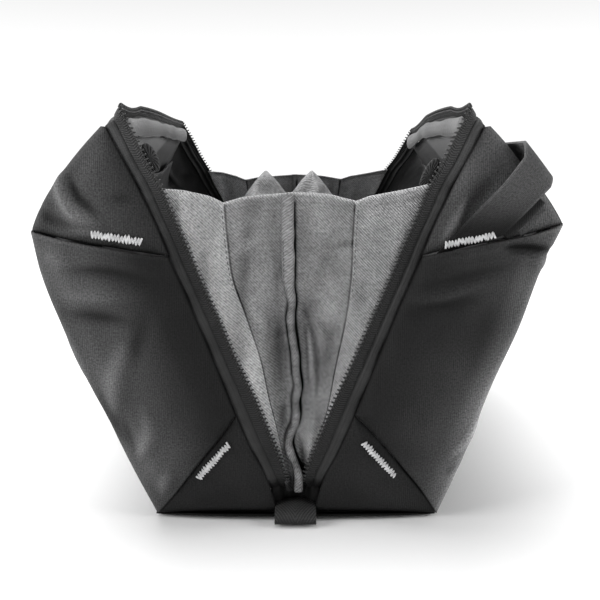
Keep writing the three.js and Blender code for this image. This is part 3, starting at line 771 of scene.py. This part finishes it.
def build_zip(side_name, side):
    p, a, n, width = zip_path(side)
    s = lengths(p)
    # Columns from the coil edge to the seam: the coil band is ribbed and raised, the rest is plain.
    shares = np.array([0, 0.05, 0.12, 0.2, 0.28, 0.36, 0.42, 0.46, 0.5, 0.56, 0.66, 0.76, 0.86, 0.94, 1.0])
    band = smooth((0.47 - shares) / 0.06) * smooth((shares - 0.06) / 0.08)
    rib = 0.5 + 0.5 * np.cos(2 * math.pi * s / TOOTH_PITCH)
    groove = -0.35 * bell(shares - 0.49, 0.03)
    plain = 0.7 * arch(np.clip((shares - 0.5) / 0.5, 0, 1))
    wave = ripple(s[:, None], 26, 70 + side)[:, None]
    out = band[None] * (0.3 + 0.14 * rib[:, None]) + groove[None] + plain[None]
    out += 0.3 * wave * shares[None] ** 2
    across = shares[None] * width[:, None]
    points = p[:, None] + across[..., None] * a[:, None] + out[..., None] * n[:, None]
    uv = stacked(shares[None] * TAPE_WIDTH, s[:, None])
    # painted light and shade: a highlight on the outer band, dark lines in the groove and at the seam, shade
    # towards the foot and light towards the top
    tone = 1 + 0.5 * bell(shares - 0.8, 0.12) - 0.55 * bell(shares - 0.49, 0.03)
    height = p[:, 2][:, None]
    tone = tone[None] * (0.25 + 0.75 * smooth((height - GUSSET_FOOT) / 9)) + 0.1 * wave
    tone = (tone - 0.8 * bell(shares - 1, 0.05)[None]) * (1 + 2.2 * smooth((height - 122) / 45))
    tape = Cloth().grid(points, uv, n[:, None], np.clip(tone, 0.05, 4)).piece(
        f"{side_name}_zip_tape_cloth", TAPE, thick=0.7)
    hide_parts(f"{side_name}_zip_tape", f"front_{side_name}_low_zip_tape",
                f"back_{side_name}_low_zip_tape")
    bent(tape)

    # One rounded tooth at every pitch along the edge.
    at = np.arange(int(s[-1] / TOOTH_PITCH)) * TOOTH_PITCH
    centre, across, normal = (np.stack([np.interp(at, s, x[:, k]) for k in range(3)], -1) for x in (p, a, n))
    along = np.cross(across, normal)
    theta, phi = np.linspace(0, 2 * math.pi, 9), np.linspace(0.02, math.pi - 0.02, 6)
    ball = stacked(np.cos(phi)[:, None] + 0 * theta, np.sin(phi)[:, None] * np.cos(theta),
                   np.sin(phi)[:, None] * np.sin(theta))
    ball = np.sign(ball) * np.abs(ball) ** 0.7 * [1.15, 0.42, 0.62]
    teeth = Cloth()
    for c, x, y, z in zip(centre, across, along, normal):
        local = ball @ np.stack([x, y, z])
        teeth.grid(c - x * 0.3 + z * 0.2 + local, ball[..., :2], local)
    teeth = teeth.piece(f"{side_name}_zip_teeth", COIL)
    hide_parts(f"{side_name}_zip_coil", f"front_{side_name}_low_zip_coil",
                f"back_{side_name}_low_zip_coil")
    bent(teeth)


# ---- gussets --------------------------------------------------------------------------
PLEAT_SEAM = {
    -1: [(2.5, 12), (7.8, 39), (11.6, 54), (15.8, 74), (20.7, 89), (26.4, 105.5), (28.6, 122), (30.0, 138)],
    1: [(2.5, 12), (7.5, 30), (12.6, 43.5), (17.7, 68), (22.1, 91), (24, 107.5), (24.6, 124),
        (25.5, 138.6)],
}
TOP_EDGE = {
    -1: [(58, 144.6), (55.9, 144), (45.6, 143.2), (36.1, 140.8), (30, 138), (22.9, 139.9),
         (14.6, 140.8), (1, 142)],
    1: [(58, 146), (54.4, 145.6), (43.4, 143.2), (31, 140.8), (25.5, 138.6), (14.4, 141.2), (6, 141.8),
        (-1, 142)],
}
RIDGE = [(-3.2, 141.5), (-3.2, 128), (-3.0, 115), (-2.6, 104), (-1.4, 97), (-2.0, 90), (-1.3, 82),
         (-0.2, 75), (0.4, 65), (1.1, 60), (0.1, 54), (0.3, 47), (-0.4, 43), (-2.0, 39.5), (-2.9, 35),
         (-2.2, 31), (-0.2, 26), (1.2, 21), (1.3, 13)]
ridge_x = x_at(RIDGE[::-1])


def gusset_plan(side):
    """One gusset half seen from the front: shares from the zip (0) over the pleat (0.5) to the
    ridge (1), the place and height of each point, its zip edge, and its drop below the top."""
    seam = x_at(PLEAT_SEAM[side])
    top_x, top_z = np.array(TOP_EDGE[side])[::-1].T
    # points crowd around the step of the pleat
    shares = np.concatenate([np.linspace(*part) for part in ((0, 0.47, 36), (0.475, 0.53, 15), (0.54, 1, 60))])
    sg, tg = np.meshgrid(shares, even(150))
    # Height and sideways place depend on each other, so settle them in a few rounds.
    z = GUSSET_FOOT + tg * 128
    for _ in range(6):
        zip_edge = coil_x(z) + 1.6
        middle = side * ridge_x(z)
        fold = seam(z)
        x = np.where(sg < 0.5, zip_edge + (fold - zip_edge) * sg * 2,
                     fold + (middle - fold) * (sg * 2 - 1))
        z = GUSSET_FOOT + tg * (np.interp(np.maximum(x, -1), top_x, top_z) - GUSSET_FOOT)
    return sg, x, z, zip_edge, np.interp(x, top_x, top_z) - z


def build_gusset_half(end_name, end, side_name, side):
    """Canvas from the zip to the centre ridge, with a pleat that overlaps like a step."""
    sg, x, z, zip_edge, edge = gusset_plan(side)
    open_up = smooth((z - GUSSET_FOOT) / 70)
    outer_part, inner_part = np.clip(sg * 2, 0, 1), np.clip(sg * 2 - 1, 0, 1)
    flat = stacked(x, z)
    signed = stacked(side * x, z)
    depth = 1.5 + 3.0 * open_up * smooth(outer_part) ** 1.3
    depth += 1.5 * smooth((sg - 0.498) / 0.02) * smooth((z - 20) / 40)
    depth += open_up * (3.8 * smooth(inner_part * 1.6) - 2.2 * smooth(inner_part * 3 - 2))
    slow = ripple(flat * [1, 0.5], 24, 90 + side)
    quick = ripple(flat * [1, 0.3], 10, 80 + side + 5 * end) * (0.5 + 0.5 * smooth(inner_part * 4))
    fine = ripple(flat, 8, 95 + side)
    bumps = 0.7 * slow * open_up * arch(sg) ** 0.5 + 0.5 * quick + 0.15 * fine
    # painted shade on the inner part behind the pleat, a painted highlight on the pleat's edge and a painted
    # shadow line under it; the outer part is painted paler on the left and darker on the right
    tone = 1 + 0.09 * slow + 0.09 * quick + 0.05 * fine - 0.26 * smooth((sg - 0.498) / 0.02)
    tone += 0.14 * bell(sg - 0.49, 0.012) - 0.75 * bell(sg - 0.508, 0.008)
    tone += (0.12 if side < 0 else -0.2) * (1 - smooth((sg - 0.49) / 0.02))
    # shade beside the centre ridge, sharpest on its right
    beside = np.abs(side * x - ridge_x(z))
    tone -= 0.2 * np.exp(-beside / 4.0)
    edge_of_ridge = 1.9 + smooth((z - 96) / 16)
    sharp = 0.75 if side > 0 else 0.6 - 0.45 * smooth((z - 92) / 14)
    tone -= sharp * bell(beside - edge_of_ridge, 0.8) * smooth((141 - z) / 4)
    for path, width, height in GUSSET_CREASES:
        relief, lit = crease(signed, path, width, height * (0.6 if end > 0 else 1))
        bumps += 1.5 * relief
        # painted light and shade on the flanks of each crease
        tone += 0.2 * relief + 0.42 * lit
    hem = 0.5 * smooth((3.4 - edge) / 0.5)
    # painted shade darkening towards the foot; the back gussets, seen from inside, are painted twice as light
    tone *= (0.06 + 0.94 * smooth((z - 14) / 9)) * (2.0 if end > 0 else 1)
    # painted light on the lower part and painted shade right beside the zip
    tone *= (1 + 0.4 * (1 - smooth((z - 40) / 45))) * (1 - 0.3 * np.exp(-np.abs(x - zip_edge) / 1.2))
    if end > 0:  # the cloth passes behind the slider
        low, high = (np.array(corner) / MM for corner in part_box("zip_slider"))
        clear = END_Y - TAPE_TUCK - low[1] + 2.5
        depth += np.maximum(0, clear - depth) * (1 - smooth((z - high[2] - 2) / 12))
    # painted highlight along the top hem and a painted shade line below it
    tone += 0.25 * bell(edge, 0.7) - 0.2 * bell(edge - 3.7, 0.35)
    y = END_Y - TAPE_TUCK - lean(x, z) - depth + bumps * smooth(sg * 12) + hem
    points = stacked(side * x, end * y, z)
    cloth = Cloth().grid(points, signed, (0, end, 0), tone)
    # the hem turns over at the top
    turn = np.linspace(0, math.pi, 7)[:, None, None]
    lip = points[-1][None] + 0.8 * np.sin(turn) * [0, 0, 1] - 0.8 * (1 - np.cos(turn)) * [0, end, 0]
    over = stacked(lip[..., 0], 140 + 0.5 * turn[..., 0] + 0 * lip[..., 0])
    # the turned hem is painted pale, as its top catches the light
    cloth.grid(lip, over, np.sin(turn) * [0, 0, 1] + np.cos(turn) * [0, end, 0], 1.35)
    half = cloth.piece(f"{end_name}_{side_name}_gusset_cloth", CANVAS, thick=CANVAS_THICK)
    if side_name == "left":
        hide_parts(f"{end_name}_gusset")
    flatten(half)
    row = points[points[:, 38, 2] > 96, 38]
    flatten(stitch(f"{end_name}_{side_name}_pleat_stitches", row, end))


def build_gusset(end_name, end):
    for side_name, side in SIDES.items():
        build_gusset_half(end_name, end, side_name, side)
    build_ridge(end_name, end)


def stitch(name, line, end):
    """A row of stitches along a line of points, each one a small bead of thread."""
    s = lengths(line)
    starts = np.arange(5, s[-1] - 3, 2.4)
    cloth = Cloth()
    turn = np.linspace(0, 2 * math.pi, 7)
    for a in starts:
        p, q = (np.array([np.interp(t, s, line[:, k]) for k in range(3)]) for t in (a, a + 1.4))
        way = (q - p) / np.linalg.norm(q - p)
        side = np.cross(way, [0, 1, 0])
        side /= np.linalg.norm(side)
        ring = 0.19 * (np.cos(turn)[:, None] * side + np.sin(turn)[:, None] * np.cross(side, way))
        lift = np.array([0, end * 0.12, 0])
        rows = np.array([p + 0 * ring, p + ring + lift + way * 0.2,
                         q + ring + lift - way * 0.2, q + 0 * ring])
        cloth.grid(rows, rows[..., [0, 2]], np.array([-way + 0 * ring, ring, ring, way + 0 * ring]))
    piece = cloth.piece(name, STITCH)
    return piece


def build_ridge(end_name, end):
    """The bound centre seam: a flat flap at the top that turns into a wandering round ridge."""
    line = through(RIDGE, even(220))
    x, z = line[:, 0], line[:, 1]
    flap = smooth((z - 96) / 16)
    low = smooth((112 - z) / 25)
    y = END_Y - TAPE_TUCK - lean(x, z) - 1.5 - 4.6 * smooth((z - GUSSET_FOOT) / 70) + 2.0 * low
    y += 0.6 * low * np.sin(z / 5.2)
    path = stacked(x, end * y, z)
    pucker = ripple(z[:, None], 11, 130 + end)
    half = 1.7 + 1.0 * flap + 0.13 * pucker + 0.35 * smooth((20 - z) / 6)
    thick = 1.5 - 0.75 * flap + 0.12 * ripple(z[:, None], 9, 132) * low
    close = smooth((z - 12.2) / 1.2)[:, None]
    around = np.abs(np.cos(np.linspace(0, 2 * math.pi, 21)))[None]
    uneven = 0.12 * pucker + 0.05 * ripple(z[:, None], 3.4, 134)
    # painted shade on both flanks of the binding, deeper low down, where the lower part is painted darker as
    # well
    shade = 1 - 0.72 * around**3 * (0.4 + 0.6 * low[:, None])
    tone = (0.8 + ((uneven - 0.26) * low)[:, None]) * shade
    ridge = tube(f"{end_name}_centre_binding", path, stacked(half, thick) * (0.5 + 0.5 * close),
                 CANVAS, sides=20, tone=tone)
    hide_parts(f"{end_name}_gusset_binding")
    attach(ridge, "base")
    sewn = path[(z < 128) & (z > 97)] + np.array([-2.0, end * 0.6, 0])
    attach(stitch(f"{end_name}_binding_stitches", sewn, end), "base")


def build_pleats():
    """Behind the front gusset its slack stands up in two soft folds."""
    for side_name, foot, peak, tail in (
            ("left", (-18, -98, 140), (-13.8, -90, 150.6), (-20, -64, 116)),
            ("right", (11, -98, 140), (7.6, -90, 150.6), (15, -64, 116))):
        crest = through([foot, peak, tail], even(60))
        t = np.linspace(-1.7, 1.7, 40)
        fall = np.abs(t) ** 1.2
        width = 6.0 + 2.0 * np.sin(np.linspace(0, 3, 60))
        points = np.repeat(crest[:, None], 40, 1)
        points[..., 0] += t[None] * width[:, None]
        points[..., 2] -= 8.5 * fall[None]
        points[..., 1] += 1.1 * ripple(points[..., [0, 2]], 9, 7 + len(side_name)) + 1.5 * fall[None]
        uv = stacked(points[..., 0], points[..., 2] + points[..., 1])
        # painted light: pale along the crest and darker down its flanks
        fold = Cloth().grid(points, uv, (0, 0, 1), np.clip(1.5 - 0.3 * fall, 0.5, 2)[None]).piece(
            f"front_{side_name}_gusset_fold", CANVAS, thick=CANVAS_THICK)
        flatten(fold)


# ---- interior -------------------------------------------------------------------------
def build_lining(side_name, side):
    outline = [(58.5, 5.5), (64, 16), (74, 44), (88, 82), (99, 112), (101.5, 124), (98.5, 133),
               (86, 150), (77.5, 162), (74, 168.5)]
    v, w = even(90), even(90)
    section = through(outline, v)
    y = (2 * w - 1) * 113
    points = stacked(side * section[:, 0][None], y[:, None], section[:, 1][None])
    loose = ripple(points[..., 1:] * [1, 0.5], 34, 100 + side) * arch(v)[None]
    points[..., 0] -= side * (1.0 + 1.4 * loose)
    # the cloth under the mouth is paler near the front
    pale = smooth((points[..., 2] - 126 - 0.35 * (points[..., 1] + 60)) / 6)
    lining = Cloth().grid(points, points[..., 1:], (-side, 0, 0), 1 + 0.2 * loose + 1.3 * pale).piece(
        f"{side_name}_inner_lining", INNER, thick=LINING_THICK)
    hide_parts(f"{side_name}_lining", f"{side_name}_foam")
    bent(lining)


def build_pocket(side_name, side):
    """A slip pocket whose upper edge hangs a little loose."""
    v, w = even(50), even(90)
    section = through([(67, 30), (77, 60), (84, 90), (87, 118), (83.5, 140), (78, 152)], v)
    y = (2 * w - 1) * 97
    points = stacked(side * section[:, 0][None], y[:, None], section[:, 1][None])
    slack = arch(w)[:, None] * smooth(v)[None]
    fold = bell(points[..., 1] + 45 + 1.3 * (points[..., 2] - 120), 9)
    soft = ripple(points[..., 1:], 38, 110 + side) * arch(w)[:, None]
    points[..., 0] -= side * (3.0 * slack + 2.6 * fold * smooth(v)[None] + 1.2 * soft * smooth(v * 3)[None])
    points[..., 2] -= 5.0 * slack + 16 * smooth(v)[None] * (1 - smooth(6 * w))[:, None]
    # painted highlight along the pocket's fold
    pocket = Cloth().grid(points, points[..., 1:], (-side, 0, 0), 1 + 0.5 * fold + 0.15 * soft).piece(
        f"{side_name}_pocket_cloth", POCKET, thick=SHELL_THICK)
    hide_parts(f"{side_name}_slip_pocket")
    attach(pocket, f"{side_name}_wall")


def build_mouth_roll(side_name, side):
    """The facing under the mouth is a soft rolled band."""
    y = np.linspace(-108, 107, 160)
    t = (y + 108) / 215
    path = stacked(side * (69.8 + 1.5 * arch(t)), y, 169.6 + 1.2 * arch(t))
    swell = 1 + 0.09 * np.sin(y / 17 + side) + 0.05 * np.sin(y / 6.3) + 0.2 * smooth((y - 60) / 35)
    swell = np.maximum(0.12, swell * smooth(np.minimum(y + 109, 108 - y) / 6))
    roll = tube(f"{side_name}_mouth_roll", path, stacked(1.7 * swell, 3.9 * swell), FACING,
                sides=24, up=(0, 0, 1), tone=0.9 + 0.12 * np.sin(y / 9) + 0.25 * smooth((y - 40) / 50))
    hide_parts(f"{side_name}_mouth_facing")
    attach(roll, f"{side_name}_wall")


# The inner tabs as (centre, half-length, y of the front face). They stand at different depths,
# so they pass each other when the mouth closes.
TABS = {-1: ((61.0, 157.0), 6.5, -105.5), 1: ((57.5, 149.5), 8.0, -102.0)}


def build_webbing_tab(side_name, side):
    """A ribbed webbing nub, folded over and caught behind the coil near the front."""
    centre, reach, front = TABS[side]
    turn = np.linspace(0, 2 * math.pi, 60)
    lengthways, across = np.array([0.4, 0.917]), np.array([-0.917, 0.4])
    outline = centre + reach * np.cos(turn)[:, None] * lengthways + 2.9 * np.sin(turn)[:, None] * across
    depth = np.array([0, 0.15, 0.45, 1.0, 1.55, 1.85, 2.0])
    grow = np.array([0.0, 0.82, 1, 1, 1, 0.82, 0.0])
    ring = (outline - centre)[:, None] * grow[None, :, None] + centre
    points = stacked(side * ring[..., 0], front + depth[None], ring[..., 1])
    middle = np.array([side * centre[0], front + 1.0, centre[1]])
    uv = stacked(depth[None] * 1.5, lengths(outline)[:, None])
    tab = Cloth().grid(points, uv, points - middle).piece(f"{side_name}_webbing_tab", WEBBING)
    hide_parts(f"{side_name}_inner_tab")
    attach(tab, f"{side_name}_wall")


# ---- bartacks, loops, strap, slider ---------------------------------------------------
def bartack(name, a, b, side, end, out, amount=15, width=1.3):
    """White thread in a close zigzag from a to b, each (distance from the centre line, height)."""
    a, b = np.array(a, float), np.array(b, float)
    way = (b - a) / np.linalg.norm(b - a)
    across = np.array([-way[1], way[0]])
    rng = np.random.default_rng(int(abs(a.sum() * 7)))
    corners = []
    for k in range(2 * amount + 1):
        spot = a + (b - a) * k / (2 * amount)
        swing = width * (1 if k % 2 else -1) + rng.normal(0, 0.16)
        corners.append(spot + across * swing + way * rng.normal(0, 0.1))
    corners = np.array(corners)
    dense = []
    for p, q in zip(corners[:-1], corners[1:]):
        dense += [p + (q - p) * f for f in (0, 0.15, 0.5, 0.85)]
    dense = np.array(dense + [corners[-1]])
    lift = 0.3 * np.sin(np.linspace(0, math.pi * 2 * amount, len(dense))) ** 2
    y = END_Y + out + lift - lean(dense[:, 0], dense[:, 1])
    path = stacked(side * dense[:, 0], end * y, dense[:, 1])
    return tube(name, path, 0.43, THREAD, sides=7, tone=0.85 + 0.15 * np.sin(np.arange(len(dense)) * 1.7))


def build_bartacks():
    high = {-1: ((82.3, 126.9), (62.1, 123.8)), 1: ((60.6, 122.6), (80.6, 126.6))}
    low = {-1: ((42.3, 20.4), (28.9, 35.8)), 1: ((29.6, 36.6), (43.2, 21.2))}
    for end_name, end in ENDS.items():
        for side_name, side in SIDES.items():
            label = f"{end_name}_{side_name}"
            tack = bartack(f"{label}_shoulder_bartack", *high[side], side, end, 3.4)
            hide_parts(f"{label}_bartack")
            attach(tack, f"{side_name}_wall")
            tack = bartack(f"{label}_foot_bartack", *low[side], side, end, 1.75)
            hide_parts(f"{label}_low_bartack")
            bent(tack)


def build_loops():
    """A loop of herringbone webbing folded flat at the foot of each end."""
    profile = [(108, 5.0), (114, 5.6), (119, 6.2), (123, 6.2), (127, 5.6), (129.4, 4.4), (130.6, 2.9),
               (129.4, 1.4), (126, 1.1), (119, 1.2), (108, 1.4)]
    for end_name, end in ENDS.items():
        line = through(profile, even(70))
        x = np.linspace(-LOOP_HALF, LOOP_HALF, 34)
        points = np.zeros((70, 34, 3))
        points[..., 0] = x
        points[..., 1] = end * line[:, 0][:, None]
        crown = smooth((line[:, 1] - 3.5) / 1.5)[:, None]
        points[..., 2] = line[:, 1][:, None] + crown * (0.9 - (x / LOOP_HALF) ** 2)[None]
        uv = stacked(x[None] + LOOP_HALF, lengths(line)[:, None])
        outward = points - np.array([0, end * 119, 3.2])
        # painted shade: darker towards the wall under the hollow and on the lower front fold
        tone = 0.52 - 0.34 * smooth((120.5 - line[:, 0]) / 4)[:, None] * (line[:, 1] > 3)[:, None]
        tone = np.maximum(0.12, tone - 0.25 * smooth((4.2 - line[:, 1]) / 1)[:, None])
        loop = Cloth().grid(points, uv, outward * [0, 1, 1], tone).piece(
            f"{end_name}_webbing_loop", WEBBING, thick=0.75)
        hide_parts(f"{end_name}_loop")
        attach(loop, f"{end_name}_loop")


def build_strap():
    """The carry strap: a flat leg on each end and a run along the right shoulder."""
    left_edge = [(57.0, 118.2), (65.5, 128), (75, 138.6), (84, 148.6), (90.4, 157.4)]
    right_edge = [(84, 126.2), (88, 130.5), (92.6, 135.6), (97.4, 141), (101.6, 145.6)]
    n, cols, bend, radius = 40, 26, 12, 4.5
    across = even(cols)
    run_left, run_right = np.array([91.6, 164.0]), np.array([103.2, 150.0])

    def leg(end):
        l, r = through(left_edge, even(n)), through(right_edge, even(n))
        rows = l[:, None] + (r - l)[:, None] * across[None, :, None]
        out = 2.5 + 1.6 * smooth(even(n) * 1.4)[:, None] + 0.5 * arch(across)[None]
        flat = stacked(rows[..., 0], end * (END_Y + out), rows[..., 1])
        a, b = rows[-1], run_left + (run_right - run_left) * across[:, None]
        arc = []
        for angle in np.linspace(0, math.pi / 2, bend)[1:]:
            place = a + (b - a) * math.sin(angle)
            back = radius * (1 - math.cos(angle))
            arc.append(stacked(place[:, 0], end * (END_Y + out[-1] - back), place[:, 1]))
        return np.concatenate([flat, np.array(arc)])

    front, back = leg(-1), leg(1)[::-1]
    t = even(90)[1:-1, None, None]
    middle = front[-1][None] * (1 - t) + back[0][None] * t
    sag = arch(t[..., 0])
    middle[..., 0] += 1.2 * sag * np.sin(middle[..., 1] / 40)
    middle[..., 2] -= 1.5 * sag
    points = np.concatenate([front, middle, back])
    s = lengths(points[:, cols // 2])
    uv = stacked(across[None] * STRAP_WIDTH, s[:, None])
    rim = np.minimum(across, 1 - across) * STRAP_WIDTH
    # painted highlight along both edges, and painted shade darkening the strap towards its feet
    tone = 1 + 1.1 * bell(rim - 0.4, 0.45)[None] + 0.06 * ripple(uv, 20, 3)
    tone = tone * (0.12 + 1.3 * smooth((points[..., 2] - 127) / 20))
    toward = np.repeat([[0.2, -1, 0.1], [0.75, 0, 0.66], [0.2, 1, 0.1]], [n, len(points) - 2 * n, n], axis=0)
    strap = Cloth().grid(points, uv, toward[:, None], tone).piece("strap_cloth", SHELL, thick=1.5)
    bevel = strap.modifiers.new("soft edges", "BEVEL")
    bevel.width = 0.35 * MM
    bevel.segments = 2
    bevel.limit_method = "ANGLE"
    apply_modifiers(strap)
    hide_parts("carry_strap")
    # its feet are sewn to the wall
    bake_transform(strap)


def build_strap_layers():
    """Two more layers show beside the strap, lower and closer to the panel."""
    # each is (outer edge, width, height above the panel, tone); the first layer's low tone is the strap's
    # shadow, painted on
    layers = (([(86.5, 124.4), (90, 127.8), (94.3, 132.1), (98.8, 137.1), (100.6, 139.4)], 9.0, 2.3, 0.15),
              ([(92.2, 125.7), (96, 129.4), (99.2, 132.8), (101.8, 136.4)], 9.0, 1.5, 1.3))
    for k, (edge, wide, out, light) in enumerate(layers):
        r = through(edge, even(40))
        l = r - np.array([wide * 0.74, -wide * 0.67])
        flat = l[:, None] + (r - l)[:, None] * even(10)[None, :, None]
        for end_name, end in ENDS.items():
            pts = stacked(flat[..., 0], end * (END_Y + out - 0.5 * lean(flat[..., 0], flat[..., 1])),
                          flat[..., 1])
            turn = np.linspace(0, math.pi / 2, 8)[1:, None, None]
            tail = pts[-1][None] + np.concatenate([0.2 * np.sin(turn), -end * 9.0 * (1 - np.cos(turn)),
                                                   0.2 * np.sin(turn)], -1)
            pts = np.concatenate([pts, tail])
            uv = stacked(pts[..., 0], pts[..., 2])
            # painted highlight along the layer's outer rim
            side_light = light + 0.6 * bell((1 - even(10)) * wide - 0.4, 0.5)
            layer = Cloth().grid(pts, uv, (0.1, end, 0), side_light[None] * 0.9).piece(
                f"{end_name}_strap_layer_{k + 1}", SHELL, thick=SHELL_THICK)
            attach(layer, "right_wall")


def box_piece(name, low, high, material, bevel):
    """A box with rounded edges between two corners in mm."""
    lo, hi = np.array(low, float), np.array(high, float)
    b = bmesh.new()
    bmesh.ops.create_cube(b, size=1.0)
    for vert in b.verts:
        vert.co = Vector(((lo + hi) / 2 + np.array(vert.co) * (hi - lo)) * MM)
    bmesh.ops.bevel(b, geom=b.edges[:], offset=bevel * MM, segments=3, affect="EDGES", profile=0.5)
    mesh = bpy.data.meshes.new(name)
    b.to_mesh(mesh)
    b.free()
    mesh.uv_layers.new(name="cloth")
    tone = mesh.attributes.new("tone", "FLOAT", "POINT")
    tone.data.foreach_set("value", np.ones(len(mesh.vertices), np.float32))
    mesh.polygons.foreach_set("use_smooth", np.full(len(mesh.polygons), True))
    mesh.materials.append(material)
    return new_object(name, mesh)


def join(target, *others):
    bpy.ops.object.select_all(action="DESELECT")
    for o in (target, *others):
        o.select_set(True)
    bpy.context.view_layer.objects.active = target
    bpy.ops.object.join()
    return target


def build_slider():
    lo, hi = (np.array(c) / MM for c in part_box("zip_slider"))
    front = box_piece("zip_slider_body", (lo[0], hi[1] - 1.0, lo[2]), hi, METAL, 0.35)
    rear = box_piece("rear_plate", lo, (hi[0], lo[1] + 1.0, hi[2]), METAL, 0.35)
    post = box_piece("post", (-1.6, lo[1] + 0.8, hi[2] - 3), (1.6, hi[1] - 0.8, hi[2] - 0.3), METAL, 0.3)
    bridge = box_piece("bridge", (-1.1, hi[1] - 0.3, hi[2] - 6), (1.1, hi[1] + 0.9, hi[2] - 0.6), METAL, 0.4)
    body = join(front, rear, post, bridge)
    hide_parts("zip_slider")
    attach(body, "zip_slider")
    lo, hi = (np.array(c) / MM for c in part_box("zip_pull"))
    pull = box_piece("zip_pull_tab", lo, hi, METAL, 0.5)
    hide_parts("zip_pull")
    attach(pull, "zip_pull")


def build_zip_feet():
    """The two zip tapes turn in and meet in a hollow above each loop; the tape there is painted near-black as
    the shade of the hollow.
    """
    half, low, rise = 11.4, 3.2, 13.5  # half its width, its lower edge and its height
    px, pz = np.meshgrid((2 * even(30) - 1) * half, low + rise * even(16))
    for end_name, end in ENDS.items():
        depth = np.maximum(2.8, 6.5 - 4.2 * (px / 9.6) ** 2 + 0.5 * np.cos(px * 1.3))
        points = stacked(px * (0.94 + 0.06 * bell(pz - 4, 7)), end * (END_Y - 1.2 - depth), pz)
        # painted shade: the tape in the hollow is painted near-black
        hollow = Cloth().grid(points, stacked(px, pz), (0, end, 0), 0.06).piece(
            f"{end_name}_zip_foot_fold_painted_shade", TAPE, thick=0.7)
        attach(hollow, "base")


build_base()
for side_name, side in SIDES.items():
    build_shell(side_name, side)
    build_zip(side_name, side)
    build_lining(side_name, side)
    build_pocket(side_name, side)
    build_mouth_roll(side_name, side)
    build_webbing_tab(side_name, side)
for end_name, end in ENDS.items():
    build_gusset(end_name, end)
build_pleats()
build_bartacks()
build_loops()
build_strap()
build_strap_layers()
build_slider()
build_zip_feet()


# ---- floor, light and camera ----------------------------------------------------------
FLOOR_REACH = 9  # metres each way
AIM = Vector((0, 0, 0.1))  # the lamps point here
LENS = 43.26  # on a sensor 36 wide, both in mm
CAMERA_PLACE = (0.002, -0.415, 0.161)
CAMERA_DROP = 11.9  # degrees below level


def build_floor():
    pale = bpy.data.materials.new("pale_floor")
    pale.use_nodes = True
    set_inputs(pale.node_tree.nodes["Principled BSDF"],
               {"Base Color": (0.97, 0.97, 0.97, 1), "Roughness": 0.9, "Specular IOR Level": 0.1})
    mesh = bpy.data.meshes.new("floor")
    r = FLOOR_REACH
    mesh.from_pydata([(-r, -r, 0), (r, -r, 0), (r, r, 0), (-r, r, 0)], [], [(0, 1, 2, 3)])
    mesh.materials.append(pale)
    new_object("floor", mesh)


def build_world():
    """White low down, as in a white studio, and dimmer overhead and behind the camera, so that
    light comes from the sides and from above."""
    world = bpy.data.worlds.new("studio")
    bpy.context.scene.world = world
    world.use_nodes = True
    nodes, links = world.node_tree.nodes, world.node_tree.links
    place, split = nodes.new("ShaderNodeTexCoord"), nodes.new("ShaderNodeSeparateXYZ")
    links.new(place.outputs["Generated"], split.inputs[0])

    def ramp(axis, start, end, low, high):
        made = nodes.new("ShaderNodeMapRange")
        links.new(split.outputs[axis], made.inputs["Value"])
        set_inputs(made, {"From Min": start, "From Max": end, "To Min": low, "To Max": high})
        return made.outputs["Result"]

    both = nodes.new("ShaderNodeMath")
    both.operation = "MULTIPLY"
    links.new(ramp("Z", 0.12, 0.45, 1.05, 0.3), both.inputs[0])
    links.new(ramp("Y", -0.5, 0.3, 0.32, 1), both.inputs[1])
    links.new(both.outputs[0], nodes["Background"].inputs["Strength"])
    set_inputs(nodes["Background"], {"Color": (1, 1, 1, 1)})


def build_lamp(name, kind, place, power, **facts):
    data = bpy.data.lights.new(name, kind)
    data.energy = power
    for key, value in facts.items():
        setattr(data, key, value)
    lamp = new_object(name, data)
    lamp.location = place
    lamp.rotation_euler = (AIM - Vector(place)).to_track_quat("-Z", "Y").to_euler()


def build_camera():
    data = bpy.data.cameras.new("camera")
    data.sensor_width = 36
    data.lens = LENS
    data.clip_start = 0.01
    camera = new_object("camera", data)
    camera.location = CAMERA_PLACE
    camera.rotation_euler = (math.radians(90 - CAMERA_DROP), 0, 0)
    bpy.context.scene.camera = camera
    bpy.context.scene.view_settings.view_transform = "Standard"


build_floor()
build_world()
build_lamp("overhead", "SUN", (-0.3, 0.8, 2), 3.2, angle=math.radians(50))
build_lamp("left_softbox", "AREA", (-1.0, -0.4, 0.45), 9, size=0.6)
build_lamp("right_softbox", "AREA", (1.05, -0.3, 0.4), 8, size=0.6)
build_camera()
